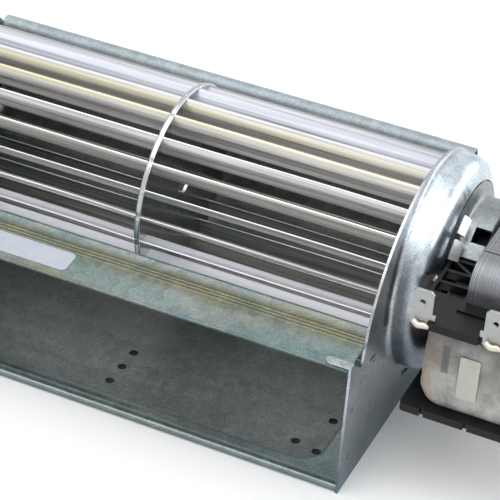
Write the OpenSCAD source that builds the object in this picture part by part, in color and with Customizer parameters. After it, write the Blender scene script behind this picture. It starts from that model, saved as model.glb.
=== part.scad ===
// Tangential blower with its shaded pole fan motor.
// X runs along the wheel's axis towards the motor, Y to the back, Z up.
// The origin is on the base plane, at the middle of the length, below the outlet floor.

/* [Sheet metal] */
// Thickness of the galvanised sheet
sheet_t = 0.8; // [0.6:0.1:1]
// Length of the housing over the two side plates
housing_w = 165.8; // [120:0.2:360]
// Height of the wheel's axis above the base plane
axle_h = 48.5; // [46:0.5:56]
// Distance from the wheel's axis forward to the outlet face
outlet_reach = 60.5; // [56:0.5:75]
// Height of the outlet mouth between the floor and the tongue
outlet_h = 42.8; // [38:0.2:43]
// Distance from the origin back to the wheel's axis
axle_y = 34; // [30:0.5:40]

/* [Wheel] */
// Radius over the blade tips
blade_r = 31.6; // [29:0.2:31.8]
// Radius of the middle ring and the end discs
ring_r = 32.2; // [31.9:0.1:32.6]
// Radial depth of a blade
blade_depth = 6.1; // [4:0.1:8]
// Radius of the blade's curve
blade_curve_r = 7; // [6:0.2:10]
// Thickness of a blade
blade_t = 0.5; // [0.3:0.05:0.8]
// Number of blades
blade_count = 23; // [16:1:30]
// Angle of the first blade's tip about the axis
blade_phase = 108.5; // [0:0.5:360]
// Distance by which each end disc stands out past the housing's side plate
wheel_over = 2.6; // [1.6:0.1:3.2]
// Thickness of the end discs and the middle ring
disc_t = 1; // [0.8:0.1:1.5]
// Width of the turned rim round the middle ring
ring_rim_w = 2.2; // [1.4:0.1:3]
// Radius of the hole in the middle ring
ring_hole_r = 4; // [3:0.5:24]

/* [Scroll] */
// Gap between the wheel and the back wall
back_gap = 4.1; // [3:0.1:8]
// Inner radius of the curled back wall
wall_r = 46; // [42:0.5:47]
// Height of the folded rim's top above the axis
rim_h = 20.2; // [18:0.2:24]
// Outer radius of the rim's fold
rim_fold_r = 3; // [2:0.1:3.4]
// Length of the rim's leg that turns down towards the wheel
rim_leg = 2.5; // [1.5:0.1:3]
// Length by which the rim's fold laps over each side plate
rim_lap = 0.5; // [0:0.1:1]
// Height of the rolled hem at the front of the floor
hem_h = 2; // [1.8:0.1:2.4]
// Depth of the rolled hem
hem_depth = 3; // [2:0.1:5]
// Depth of the recessed panel in the floor
panel_drop = 0.6; // [0.3:0.1:0.7]
// Distance from the panel to the side plates
panel_side = 9.8; // [6:0.2:14]
// Distance from the panel to the outlet face
panel_front = 7.5; // [6:0.5:10]
// Corner radius of the panel
panel_corner_r = 8; // [4:0.5:10]
// Length of the panel from front to back
panel_len = 36; // [34:0.5:40]
// Radius of the fixing holes in the floor
fix_hole_r = 1.45; // [1:0.05:2]
// Distance between the holes of the middle row
mid_hole_pitch = 8.1; // [6:0.1:9]
// Distance of the middle row's centre behind the outlet face
mid_hole_y = 22.4; // [20:0.1:24]
// Places of the outer fixing holes, outwards from the middle and back from the outlet face
corner_holes = [[62.6, 15.6], [70.2, 13.9], [69, 29.9]];

/* [Tongue] */
// Gap between the wheel and the tongue's lower bend
tongue_gap = 2.8; // [2.2:0.1:4]
// Angle of the lower bend below the axis
tongue_angle = 13; // [11:0.2:15]
// Distance from the wheel's edge forward to the tongue's ridge
ridge_out = 9.2; // [8.6:0.1:10]
// Rise of the tongue from its front edge to the ridge
ridge_rise = 2.4; // [1.6:0.1:2.8]
// Inner radius of the tongue's bends
ridge_r = 1.2; // [0.8:0.1:1.6]
// Length of the tongue's return flange
return_len = 7; // [5:0.5:9]
// Number of the stiffening beads along the tongue
bead_count = 3; // [1:1:3]
// Distance of the first bead behind the front edge
bead_at = 11.9; // [11.7:0.1:12.6]
// Distance from bead to bead
bead_pitch = 1.3; // [1.2:0.05:1.5]
// Height of each stiffening bead
bead_h = 0.35; // [0.2:0.05:0.5]
// Radius of each stiffening bead
bead_r = 0.65; // [0.5:0.05:0.8]

/* [Side plates] */
// Height of the plate's crown above the wheel's edge
crown_margin = 2.5; // [1.5:0.1:4]
// Radius of the plate's curved edge
plate_arc_r = 46.9; // [45:0.1:50]
// Distance of the crown in front of the axis
crown_y = 3.7; // [2:0.1:5]
// Width of the lug that is folded over the tongue
lug_w = 2.6; // [2:0.1:3.4]
// Length of the lug
lug_len = 7; // [4:0.5:10]
// Radial gap between the wheel's edge and the drawn dome
dome_gap = 0.6; // [0.4:0.1:1]
// Straight depth of the dome's wall
dome_wall = 5; // [4:0.1:8]
// Radius of the dome's shoulder
shoulder_r = 5; // [3:0.2:7]
// Slope of the dome's face
face_slope = 23.5; // [15:0.5:30]
// Radius of the fillet at the dome's foot
foot_r = 1.6; // [1.2:0.1:2]
// Radius of the opening in the dome's face
dome_hole_r = 24.2; // [23.6:0.1:26]

/* [Mounting cups] */
// Outer radius of the cups' flange
cup_flange_r = 27; // [25.6:0.1:28]
// Outer radius of the cups' wall
cup_r = 22.9; // [22.4:0.1:23.4]
// Thickness of the cups' sheet
cup_t = 0.9; // [0.7:0.1:1]
// Gap between a cup's flange and the dome
cup_gap = 0.05; // [0.02:0.01:0.1]
// Radius of the bends at the cups' ends
cup_bend_r = 1.5; // [1.2:0.1:2]
// Radius of the fillet between each cup's flange and wall
cup_fillet_r = 2.4; // [1.6:0.1:2.6]
// Depth of the motor's cup beyond the dome's face
cup_depth = 9.1; // [7:0.1:12]
// Radius of the recess for the rotor's end
recess_r = 14.5; // [13.6:0.1:15]
// Depth of that recess
recess_depth = 5; // [4:0.1:6]
// Depth of the far side's cup beyond the dome's face
far_cup_depth = 5.5; // [5:0.1:8]

/* [Shaft and bearings] */
// Radius of the shaft
shaft_r = 3; // [2.5:0.1:3.2]
// Running clearance of the bearings on the shaft
run_gap = 0.03; // [0.02:0.01:0.06]
// Radius of the sintered bushes
bush_r = 6; // [5:0.1:6.4]
// Length of the sintered bushes
bush_len = 6.5; // [5:0.1:7]
// Radius of the rubber ring round the far bush
rubber_r = 10.5; // [9:0.1:11]
// Radius of the wheel's hub
hub_r = 8; // [6.5:0.1:10]
// Length of the wheel's hub
hub_len = 10; // [8:0.5:12]

/* [Motor core] */
// Distance from the cup's end to the core
core_gap = 2.6; // [2.4:0.1:5]
// Thickness of the laminated core
core_len = 20; // [12:0.5:30]
// Height of the core's top above the axis
core_top = 27.2; // [26:0.2:30]
// Depth of the core's underside below the axis
core_low = 29.8; // [29:0.2:33]
// Distance from the axis to the core's front
core_front = 38.6; // [37:0.2:42]
// Distance from the axis to the core's back
core_back = 24; // [22:0.5:28]
// Width of the leg that passes through the coil
leg_w = 10.3; // [8:0.1:12]
// Clearance between the window's top and bottom and the bobbin
window_gap = 0.3; // [0.2:0.05:0.6]
// Distance from the axis to the window's rear edge
window_y = 17; // [16.6:0.1:18]
// Radius of the core's front corners
core_corner_r = 8; // [5:0.5:9.5]
// Radius of the core's back corners
core_back_r = 13; // [8:0.5:16]
// Width of the joint between the leg and the core
joint_gap = 0.5; // [0.2:0.1:0.8]
// Radius of the rotor
rotor_r = 12.9; // [11:0.1:13]
// Air gap round the rotor
air_gap = 0.35; // [0.3:0.05:0.6]
// Radius of the rotor's end rings
cage_r = 10.8; // [9:0.1:11]
// Length of each end ring
cage_len = 3; // [2:0.1:3.4]
// Radius of the shading rings' wire
shade_r = 0.95; // [0.6:0.05:1]
// Distance of the shading rings' wire from the axis
shade_at = 15.1; // [15:0.05:15.2]
// Angles of the two legs of the upper shading ring
shade_angles = [126, 164];

/* [Coil] */
// Distance from the core to the bobbin's flange edge at the dome's side
flange_over = 11.6; // [9:0.1:11.6]
// Distance from the axis to the flanges' front edge
flange_front = 52.2; // [50:0.2:56]
// Thickness of the bobbin's flanges
flange_t = 2.6; // [1.6:0.1:3]
// Height of the top flange's upper face above the axis
flange_top = 15; // [14.5:0.1:15.1]
// Height of the bottom flange's lower face below the axis
flange_low = 17.7; // [17:0.1:18]
// Wall of the bobbin's tube round the leg
tube_wall = 1.2; // [0.8:0.1:1.6]
// Clearance between the leg and the bobbin
leg_gap = 0.15; // [0.1:0.05:0.3]
// Distance by which the flanges stand out past the coil
coil_inset = 2.9; // [1.6:0.1:4]
// Corner radius of the taped coil
coil_corner_r = 7; // [4:0.5:9]
// Width of the raised collar on the top flange, in front of the core
collar_w = 4.4; // [2:0.1:6]
// Height of that collar
collar_h = 0.6; // [0.3:0.1:1]
// Width of the ribs in the guard beside the core
rib_w = 1.1; // [0.9:0.1:2]

/* [Terminals] */
// Width of the quick connect tabs
tab_w = 6.3; // [4.8:0.1:6.4]
// Thickness of the tabs
tab_t = 0.8; // [0.5:0.1:1]
// Height of the tabs above the flange
tab_h = 9.6; // [8:0.1:11]
// Radius of the hole in each tab
tab_hole_r = 0.85; // [0.6:0.05:1]
// Distance between the two tabs
tab_pitch = 21.4; // [16:0.2:24]
// Depth of the tabs' roots in the flange
tab_root = 2.2; // [1.6:0.1:2.3]

/* [Fasteners and rear bracket] */
// Distance of the core screws from the axis
screw_at = 18.4; // [18.2:0.1:18.6]
// Radius of the core screws
screw_r = 1.75; // [1.5:0.05:1.8]
// Radius of the screw heads and nuts
screw_head_r = 2.6; // [2.4:0.1:2.8]
// Thickness of the screw heads and nuts
screw_head_t = 2.2; // [1.6:0.1:2.6]
// Radius of the spacers round the screws
spacer_r = 2.7; // [2.6:0.1:2.8]
// Reach of the rear bracket beyond the core
rear_reach = 13; // [12:0.5:16]
// Width of the rear bracket's strap
rear_w = 15; // [13.6:0.5:20]
// Thickness of the rear bracket's strap
rear_t = 2; // [1.6:0.1:2.4]

/* [Labels] */
// Length of the blank label on the tongue
label_len = 62; // [30:1:80]
// Width of the blank label on the tongue
label_w = 8.2; // [6:0.2:8.4]
// Distance of the label behind the tongue's front edge
label_at = 2.8; // [2:0.1:2.9]
// Distance from the far side plate to the label
label_from_end = 10.4; // [9:0.2:16]
// Thickness of the labels
label_t = 0.1; // [0.1:0.05:0.3]

/* [Hidden] */
$fn = 96;
EPS = 0.01;
half_w = housing_w / 2;
inner_x = half_w - sheet_t;
rim_end_x = half_w + rim_lap;

// Heights in the wheel's own frame, with the axis at zero
base_z = -axle_h;
floor_z = base_z + panel_drop;
floor_top = floor_z + sheet_t;
lip_z = floor_top + outlet_h;

// Wheel
disc_x = half_w + wheel_over - disc_t;
wheel_end = half_w + wheel_over;
heel_r = blade_r - blade_depth;
slot_gap = 0.04;
rim_gap = 0.1;
tip_turn = 5.96;
blade_step = 360 / blade_count;

// Back wall and rim
wall_face = ring_r + back_gap;
wall_cy = wall_face - wall_r;
wall_cz = floor_top + wall_r;
rim_cy = wall_face + sheet_t - rim_fold_r;
rim_cz = rim_h - rim_fold_r;
leg_z = rim_cz - rim_leg;
rim_clear = 0.8;

// Floor
panel_w = housing_w - 2 * sheet_t - 2 * panel_side;
panel_y0 = -outlet_reach + panel_front;

// Tongue
tongue_front = [-outlet_reach, lip_z];
ridge = [-ring_r - ridge_out, lip_z + ridge_rise];
lower_bend = (ring_r + tongue_gap + sheet_t) * [-cos(tongue_angle), -sin(tongue_angle)];
flange_knee = lower_bend + [-3.1, -2.15];
flange_end = flange_knee - [return_len, 0];
tongue_tilt = atan2(ridge[1] - tongue_front[1], ridge[0] - tongue_front[0]);

// Side plates
crown_z = ring_r + crown_margin;
arc_cz = crown_z - plate_arc_r;
plate_back = wall_face + 2 * sheet_t;
nose_drop = 4;
nose_run = [3, 8.4];
dome_ro = ring_r + dome_gap + sheet_t;
shoulder_x = half_w + dome_wall;
face_x = shoulder_x + shoulder_r * cos(face_slope);
face_r = dome_ro - shoulder_r + shoulder_r * sin(face_slope);
hole_x = face_x + (face_r - dome_hole_r) * tan(face_slope);

// Mounting cups
flange_rise = (cup_gap + cup_t) / cos(face_slope);
cup_rim_x = face_x + (face_r - cup_flange_r) * tan(face_slope);
joggle_r = cup_flange_r + 0.4;
cup_foot_x = cup_rim_x + (cup_flange_r - cup_r) * tan(face_slope);
cup_end_x = hole_x + cup_depth;
far_end_x = hole_x + far_cup_depth;
seat_gap = 0.04;
boss_floor_x = cup_end_x - recess_depth;
bush_x = boss_floor_x - bush_len;
far_bush_x = far_end_x - bush_len - cup_t - 2 * seat_gap;
rivet_angles = [20, 157, 270];
rivet_at = 25.7;
rivet_r = 1;
rivet_face_x = face_x + (face_r - rivet_at) * tan(face_slope) - flange_rise;
clip_t = 0.8;
clip_angles = [[114, 127], [131, 141]];

// Motor
core_x = cup_end_x + core_gap;
core_end_x = core_x + core_len;
bore_r = rotor_r + air_gap;
rotor_x0 = core_x + 0.4;
rotor_x1 = core_end_x - 0.4;
end_play = 0.3;
leg_y = -core_front + leg_w;
flange_x = core_x - flange_over;
flange_far_x = core_end_x + flange_over;
flange_back = window_y + 1.2;
window_z0 = -flange_low - window_gap;
window_z1 = flange_top + window_gap;
tube_y0 = -core_front - leg_gap;
tube_y1 = leg_y + leg_gap;
coil_z0 = -flange_low + flange_t;
coil_z1 = flange_top - flange_t;
tab_y = -flange_front + 1.2;
tab_x = flange_x + tab_w / 2 - 0.2;
rear_x = core_end_x + rear_reach;
rear_boss_len = 7;
shaft_end_x = rear_x + 3;

// Helpers

// Unit normal on the left of the way from a to b
function left_of(a, b) = let (u = (b - a) / norm(b - a)) [-u[1], u[0]];

// The path moved sideways by d, with mitred corners
function beside(p, d) = [for (i = [0:len(p) - 1])
    let (a = i > 0 ? left_of(p[i - 1], p[i]) : left_of(p[i], p[i + 1]),
         b = i < len(p) - 1 ? left_of(p[i], p[i + 1]) : a)
    p[i] + (a + b) * d / (1 + a * b)];

function backwards(p) = [for (i = [len(p) - 1:-1:0]) p[i]];

// Points of an arc round c
function arc(c, r, a0, a1, n) = [for (i = [0:n])
    let (a = a0 + (a1 - a0) * i / n) c + r * [cos(a), sin(a)]];

// Points of a bend of radius r at the corner q, on the way from p to s
function bend(p, q, s, r, n) = let (u = (p - q) / norm(p - q), v = (s - q) / norm(s - q),
    half = acos(u * v) / 2, c = q + (u + v) / norm(u + v) * r / sin(half),
    a = q + u * r / tan(half) - c, b = q + v * r / tan(half) - c, w = 180 - 2 * half)
    [for (i = [0:n]) c + (sin((1 - i / n) * w) * a + sin(i / n * w) * b) / sin(w)];

// A sheet of thickness t that lies on the left of its path
module sheet_2d(p, t) polygon(concat(p, backwards(beside(p, t))));

// The wheel's frame, with the axis along X
module at_axle() translate([0, axle_y, axle_h]) children();

// A flat shape drawn in Y and Z, extruded along X from x0 to x1
module along_x(x0, x1) translate([x0, 0, 0]) rotate([90, 0, 90]) linear_extrude(x1 - x0) children();

// A profile drawn with the radius across and X up, turned about the X axis
module turned() rotate([0, 90, 0]) rotate_extrude() children();

module rod_x(x0, x1, r) translate([x0, 0, 0]) rotate([0, 90, 0]) cylinder(h = x1 - x0, r = r);

module tube_x(x0, x1, r_out, r_in) difference() {
    rod_x(x0, x1, r_out);
    rod_x(x0 - 1, x1 + 1, r_in);
}

// A rectangle from corner a to corner b with round corners
module round_rect(a, b, r) {
    translate([a[0] + r, a[1]]) square([b[0] - a[0] - 2 * r, b[1] - a[1]]);
    translate([a[0], a[1] + r]) square([b[0] - a[0], b[1] - a[1] - 2 * r]);
    for (x = [a[0] + r, b[0] - r], y = [a[1] + r, b[1] - r]) translate([x, y]) circle(r);
}

module mirror_x(far) mirror([far ? 1 : 0, 0, 0]) children();

// Wheel

// One blade in section: an arc that leaves the heel radially and leans forward at the tip
module blade_2d(grow) {
    half_t = blade_t / 2 + grow;
    intersection() {
        difference() {
            circle(blade_r + grow);
            circle(heel_r - grow);
        }
        translate([heel_r, -blade_curve_r]) difference() {
            circle(blade_curve_r + half_t);
            circle(blade_curve_r - half_t);
        }
        translate([heel_r - 1, -blade_curve_r]) square([blade_depth + 3, blade_curve_r + half_t + 1]);
    }
}

module all_blades_2d(grow) {
    for (i = [0:blade_count - 1]) rotate(blade_phase + tip_turn + i * blade_step) blade_2d(grow);
}

module wheel_blades() color("#c9c9cc") at_axle() {
    along_x(-wheel_end, wheel_end) all_blades_2d(0);
}

module slotted_disc(x0, hole_r) {
    along_x(x0, x0 + disc_t) difference() {
        circle(ring_r);
        circle(hole_r);
        all_blades_2d(slot_gap);
    }
}

module middle_ring() color("#d6d8dc") at_axle() {
    slotted_disc(-disc_t / 2, ring_hole_r);
    tube_x(-ring_rim_w / 2, ring_rim_w / 2, ring_r, blade_r + rim_gap);
}

module wheel_disc_motor() color("#c4c6ca") at_axle() {
    slotted_disc(disc_x, hub_neck_r());
}

module wheel_disc_far() color("#c4c6ca") at_axle() {
    slotted_disc(-disc_x - disc_t, hub_neck_r());
}

// The hub's neck is riveted through the disc
function hub_neck_r() = hub_r - 2;

module wheel_hub() color("#b9babd") at_axle() difference() {
    union() {
        rod_x(disc_x - hub_len, disc_x - seat_gap, hub_r);
        rod_x(disc_x - hub_len, disc_x + disc_t, hub_neck_r() - seat_gap);
        rod_x(disc_x + disc_t + seat_gap, disc_x + disc_t + 1.2, hub_neck_r() + 1);
        rod_x(disc_x, disc_x + disc_t + 1.2, hub_neck_r() - seat_gap);
    }
    rod_x(disc_x - hub_len - 1, disc_x + disc_t + 3, shaft_r + seat_gap);
    translate([disc_x - hub_len / 2, 0, 0]) cylinder(h = hub_r + 1, r = 1.6);
}

module hub_set_screw() color("#6e6f72") at_axle() translate([disc_x - hub_len / 2, 0, 0]) difference() {
    translate([0, 0, shaft_r + seat_gap]) cylinder(h = hub_r - shaft_r - 0.3, r = 1.55);
    translate([0, 0, hub_r - 1.4]) cylinder(h = 3, r = 0.8, $fn = 6);
}

// The stub shaft is upset on both faces of the far disc
module far_stub_shaft() color("#9fa1a5") at_axle() {
    rod_x(-far_end_x - 1.5, -disc_x + 2, shaft_r);
    rod_x(-disc_x + seat_gap, -disc_x + 2, hub_neck_r() + 1);
    rod_x(-disc_x - disc_t, -disc_x + seat_gap, hub_neck_r() - seat_gap);
    rod_x(-disc_x - disc_t - 1.2, -disc_x - disc_t - seat_gap, hub_neck_r() + 1);
}

module motor_shaft() color("#a9abaf") at_axle() {
    rod_x(disc_x - hub_len + 1, shaft_end_x, shaft_r);
}

// Housing

function scroll_path() = concat(
    [[-outlet_reach + hem_h / 2, floor_z], [wall_cy, floor_z]],
    arc([wall_cy, wall_cz], wall_r + sheet_t, -86, 0, 24),
    arc([rim_cy, rim_cz], rim_fold_r, 0, 180, 12),
    [[rim_cy - rim_fold_r, leg_z]]);

module scroll_2d() {
    sheet_2d(scroll_path(), sheet_t);
    hem_2d();
}

// The floor's front edge is rolled back over itself
module hem_2d() {
    translate([-outlet_reach + hem_h / 2, floor_z + hem_h / 2]) circle(hem_h / 2);
    translate([-outlet_reach + hem_h / 2, floor_z]) square([hem_depth - hem_h / 2, hem_h]);
}

module panel_block(z0, z1) {
    translate([0, 0, z0]) linear_extrude(z1 - z0)
        round_rect([-panel_w / 2, panel_y0], [panel_w / 2, panel_y0 + panel_len], panel_corner_r);
}

module floor_holes() {
    for (i = [-1:1]) translate([0, -outlet_reach + mid_hole_y + i * mid_hole_pitch, base_z - 1])
        cylinder(h = 5, r = fix_hole_r);
    for (h = corner_holes, s = [-1, 1]) translate([s * h[0], -outlet_reach + h[1], base_z - 1])
        cylinder(h = 5, r = fix_hole_r);
}

module scroll() color("#a8b2b0") at_axle() difference() {
    union() {
        difference() {
            along_x(-inner_x, inner_x) scroll_2d();
            panel_block(floor_top - panel_drop, floor_top + 1);
        }
        panel_block(base_z, base_z + sheet_t);
        for (s = [0, 1]) mirror_x(s == 1) along_x(inner_x - EPS, rim_end_x) rim_end_2d();
    }
    floor_holes();
}

// The part of the fold that laps over the side plate
module rim_end_2d() intersection() {
    scroll_2d();
    translate([rim_cy - rim_fold_r - 1, leg_z]) square([3 * rim_fold_r, 20]);
}

// The tongue rises to a ridge, turns down beside the wheel and returns in a flange
function tongue_path() = concat([tongue_front], bend(tongue_front, ridge, lower_bend, ridge_r, 6),
    bend(ridge, lower_bend, flange_knee, ridge_r, 6), [flange_knee, flange_end]);

module on_tongue() translate(tongue_front) rotate(tongue_tilt) children();

module bead_rounds_2d(lift) {
    for (i = [0:bead_count - 1]) translate([bead_at + i * bead_pitch, lift + bead_h - bead_r]) circle(bead_r);
}

module tongue_2d() difference() {
    union() {
        sheet_2d(tongue_path(), sheet_t);
        on_tongue() bead_rounds_2d(sheet_t);
    }
    on_tongue() bead_rounds_2d(0);
}

module tongue() color("#96a39d") at_axle() {
    along_x(-inner_x, inner_x) tongue_2d();
}

// The side plate's outline in the wheel's frame
module plate_2d() difference() {
    union() {
        intersection() {
            translate([-crown_y, arc_cz]) circle(plate_arc_r);
            translate([-outlet_reach, arc_cz]) square([outlet_reach + plate_back, 2 * plate_arc_r]);
        }
        polygon([[-outlet_reach, base_z], [-outlet_reach, lip_z + sheet_t],
            [-outlet_reach + nose_run[0], lip_z + sheet_t],
            [-outlet_reach + nose_run[1], lip_z + sheet_t - nose_drop],
            [-crown_y, lip_z + sheet_t - nose_drop], [plate_back, arc_cz], [plate_back, base_z + 4],
            [plate_back - 4, base_z]]);
    }
    translate([rim_cy - rim_fold_r - rim_clear, leg_z - rim_clear]) square([30, 30]);
}

// Path of the dome's outer face, from its foot over the joggle for the cup's flange to the opening
function dome_path() = concat(
    [[dome_ro + foot_r + 1, half_w]],
    backwards(arc([dome_ro + foot_r, half_w + foot_r], foot_r, 180, 270, 6)),
    arc([dome_ro - shoulder_r, shoulder_x], shoulder_r, 0, 90 - face_slope, 8),
    [[joggle_r, face_x + (face_r - joggle_r) * tan(face_slope)],
     [joggle_r - 0.2, face_x + (face_r - joggle_r + 0.2) * tan(face_slope) - flange_rise],
     [dome_hole_r, hole_x - flange_rise]]);

module tab_slot(y, z, len, wide, turn) translate([y, z]) rotate(turn) {
    translate([-len / 2 + wide / 2, -wide / 2]) square([len - wide, wide]);
    for (s = [-1, 1]) translate([s * (len - wide) / 2, 0]) circle(wide / 2);
}

// Slots, pierced marks and the three cornered hole, as they lie on the plate
module plate_holes_2d() {
    translate(ridge) {
        tab_slot(-2.2, -0.2, 4.6, 0.9, 20);
        tab_slot(-0.8, -8.2, 4.8, 0.9, -2);
        translate([0.9, -10.4]) circle(0.8);
    }
    translate([-crown_y, arc_cz]) {
        tab_slot(-28.2, -8.6, 2.4, 0.8, 30);
        translate([-36, -17]) circle(1);
        translate([-8.2, -25.5]) polygon([[0, 0], [-0.8, 2.9], [1.9, 2.2], [6.3, -1.1]]);
    }
    tab_slot(-outlet_reach + 4.9, lip_z - 16, 1.6, 0.8, 80);
    tab_slot(-outlet_reach + 5.2, lip_z - 33.9, 2, 0.8, 80);
}

module side_plate() difference() {
    union() {
        difference() {
            along_x(inner_x, half_w) plate_2d();
            rod_x(inner_x - 1, half_w + 1, dome_ro + foot_r);
        }
        intersection() {
            difference() {
                turned() sheet_2d(dome_path(), sheet_t);
                rivet_bores();
            }
            along_x(inner_x, hole_x + 5) union() {
                plate_2d();
                circle(dome_ro);
            }
        }
        folded_lug();
    }
    along_x(inner_x - 1, half_w + 1) plate_holes_2d();
}

// The lug at the plate's top front corner lies over the tongue's edge
module folded_lug() {
    translate([half_w - lug_len, -outlet_reach, lip_z + 1.2]) cube([lug_len - sheet_t + EPS, lug_w, sheet_t]);
    translate([inner_x, -outlet_reach, lip_z]) cube([sheet_t, lug_w, 1.2 + sheet_t]);
    translate([half_w - lug_len, -outlet_reach + lug_w / 2, lip_z + 1.2])
        cylinder(h = sheet_t, r = lug_w / 2);
}

module side_plate_motor() color("#aeb4ba") at_axle() side_plate();

module side_plate_far() color("#aeb4ba") at_axle() mirror_x(true) side_plate();

// Mounting cups

// Path of the motor cup's outer face: flange, wall, end, rotor recess and bearing seat
function motor_cup_path() = concat(
    [[cup_flange_r, cup_rim_x]],
    cup_foot(),
    arc([cup_r - cup_bend_r, cup_end_x - cup_bend_r], cup_bend_r, 0, 90, 6),
    [[recess_r, cup_end_x], [recess_r, boss_floor_x], [bush_r + seat_gap, boss_floor_x],
     [bush_r + seat_gap, bush_x]]);

function cup_foot() = bend([cup_flange_r, cup_rim_x], [cup_r, cup_foot_x],
    [cup_r, cup_foot_x + cup_fillet_r], cup_fillet_r, 8);

module cup_body(path) turned() sheet_2d(path, cup_t);

module motor_cup() color("#b4b9bd") at_axle() difference() {
    cup_body(motor_cup_path());
    for (s = [-1, 1]) translate([0, 0, s * screw_at]) rod_x(boss_floor_x + 1, cup_end_x + 1, screw_r + 0.15);
    rivet_bores();
    // The front of the cup is open for the coil
    translate([flange_x - 0.3, -cup_flange_r - 1, window_z0])
        cube([cup_end_x, cup_flange_r + 1 - window_y, window_z1 - window_z0]);
}

// The place of each rivet, square to the dome's slanted face
module at_rivets() {
    for (a = rivet_angles) rotate([a, 0, 0]) translate([rivet_face_x, rivet_at, 0])
        rotate([0, 0, face_slope]) children();
}

module rivet_bores() at_rivets() rod_x(-3, 4, rivet_r + seat_gap);

function far_cup_path() = concat(
    [[cup_flange_r, cup_rim_x]],
    cup_foot(),
    arc([cup_r - cup_bend_r, far_end_x - cup_bend_r], cup_bend_r, 0, 90, 6),
    [[rubber_r + seat_gap, far_end_x], [rubber_r + seat_gap, far_bush_x], [bush_r - 1, far_bush_x]]);

module far_cup() color("#b4b9bd") at_axle() mirror_x(true) difference() {
    cup_body(far_cup_path());
    rivet_bores();
}

// Rivets through the flange of each cup and the dome's face
module cup_rivets() color("#c3c7ca") at_axle() {
    top = cup_gap + cup_t + seat_gap;
    for (s = [0, 1]) mirror_x(s == 1) at_rivets() {
        rod_x(-sheet_t - seat_gap - 0.6, top + 0.6, rivet_r);
        rod_x(top, top + 0.8, rivet_r + 0.4);
        rod_x(-sheet_t - seat_gap - 0.7, -sheet_t - seat_gap, rivet_r + 0.5);
    }
}

// Two bent lugs lie on the flange of the motor's cup, at its front and top
module cup_clips() color("#e1e3e4") at_axle() {
    for (a = clip_angles) clip_arc(a[0], a[1]);
}

module clip_arc(a0, a1) intersection() {
    turned() sheet_2d([clip_point(cup_flange_r + 0.6), clip_point(cup_r + 1.8)], clip_t);
    along_x(face_x, cup_end_x) polygon([[0, 0], 40 * [cos(a0), sin(a0)], 40 * [cos(a1), sin(a1)]]);
}

// A point on the clips' outer face at radius r
function clip_point(r) = [r, cup_rim_x + (cup_flange_r - r) * tan(face_slope)
    + (seat_gap + clip_t) / cos(face_slope)];

// Bearings

module bush(x0) tube_x(x0, x0 + bush_len, bush_r, shaft_r + run_gap);

module front_bush() color("#8a7a5c") at_axle() bush(bush_x);

module far_bush() color("#8a7a5c") at_axle() mirror_x(true) bush(far_bush_x + cup_t + seat_gap);

module far_rubber_ring() color("#2b2b2d") at_axle() mirror_x(true)
    tube_x(far_bush_x + cup_t + seat_gap, far_end_x, rubber_r, bush_r + seat_gap);

// A pressed ring holds the rubber in its seat
module far_retainer() color("#b4b9bd") at_axle() mirror_x(true)
    tube_x(far_end_x + seat_gap, far_end_x + seat_gap + cup_t, rubber_r + 3, bush_r - 1);

// Motor core

module core_outline_2d() {
    intersection() {
        round_rect([-core_front, -core_low], [core_back + 20, core_top], core_corner_r);
        round_rect([-core_front - 20, -core_low], [core_back, core_top], core_back_r);
    }
}

module shade_holes_2d(grow) {
    for (turn = [0, 180], a = shade_angles) rotate(turn + a) translate([shade_at, 0]) circle(shade_r + grow);
}

module stator_core() color("#8d9094") at_axle() along_x(core_x, core_end_x) difference() {
    core_outline_2d();
    leg_side_2d(leg_w + joint_gap);
    translate([-core_front, window_z0]) square([core_front - window_y, window_z1 - window_z0]);
    circle(bore_r);
    shade_holes_2d(0.06);
    for (s = [-1, 1]) translate([0, s * screw_at]) circle(screw_r + 0.1);
}

module stator_leg() color("#85888d") at_axle() along_x(core_x, core_end_x) intersection() {
    core_outline_2d();
    leg_side_2d(leg_w);
}

// All of the core's height, from its front back to a given width
module leg_side_2d(w) translate([-core_front - 1, -core_low - 1]) square([w + 1, core_low + core_top + 2]);

// A closed copper ring round the shaded part of each pole
module shading_rings() color("#b0703a") at_axle() {
    for (turn = [0, 180]) rotate([turn, 0, 0]) {
        along_x(core_x - 2 * shade_r - 0.1, core_end_x + 2 * shade_r + 0.1) shade_wires_2d();
        along_x(core_x - 2 * shade_r - 0.1, core_x - 0.1) shade_link_2d();
        along_x(core_end_x + 0.1, core_end_x + 2 * shade_r + 0.1) shade_link_2d();
    }
}

module shade_wires_2d() {
    for (a = shade_angles) rotate(a) translate([shade_at, 0]) circle(shade_r);
}

// The bar across the ring's end follows the rotor's edge
module shade_link_2d() {
    shade_wires_2d();
    intersection() {
        difference() {
            circle(shade_at + shade_r);
            circle(shade_at - shade_r);
        }
        polygon([[0, 0], for (a = shade_angles) 30 * [cos(a), sin(a)]]);
    }
}

module rotor_core() color("#7d7f83") at_axle() tube_x(rotor_x0, rotor_x1, rotor_r, shaft_r + seat_gap);

module rotor_end_rings() color("#c7c9cb") at_axle() {
    tube_x(rotor_x0 - cage_len, rotor_x0, cage_r, shaft_r + 2);
    tube_x(rotor_x1, rotor_x1 + cage_len, cage_r, shaft_r + 2);
}

// Spacer tubes that keep the rotor in its place between the bushes
module thrust_washers() color("#d8d2bd") at_axle() {
    tube_x(boss_floor_x + end_play, rotor_x0 - seat_gap, shaft_r + 1.6, shaft_r + seat_gap);
    tube_x(rotor_x1 + seat_gap, rear_bush_x() - end_play, shaft_r + 1.6, shaft_r + seat_gap);
}

// Coil

module flange_2d() difference() {
    round_rect([flange_x, -flange_front], [flange_far_x, -flange_back], 1.5);
    leg_hole_2d();
}

module leg_hole_2d() translate([core_x - leg_gap, tube_y0])
    square([core_len + 2 * leg_gap, tube_y1 - tube_y0]);

module flat_z(z0, z1) translate([0, 0, z0]) linear_extrude(z1 - z0) children();

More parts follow.
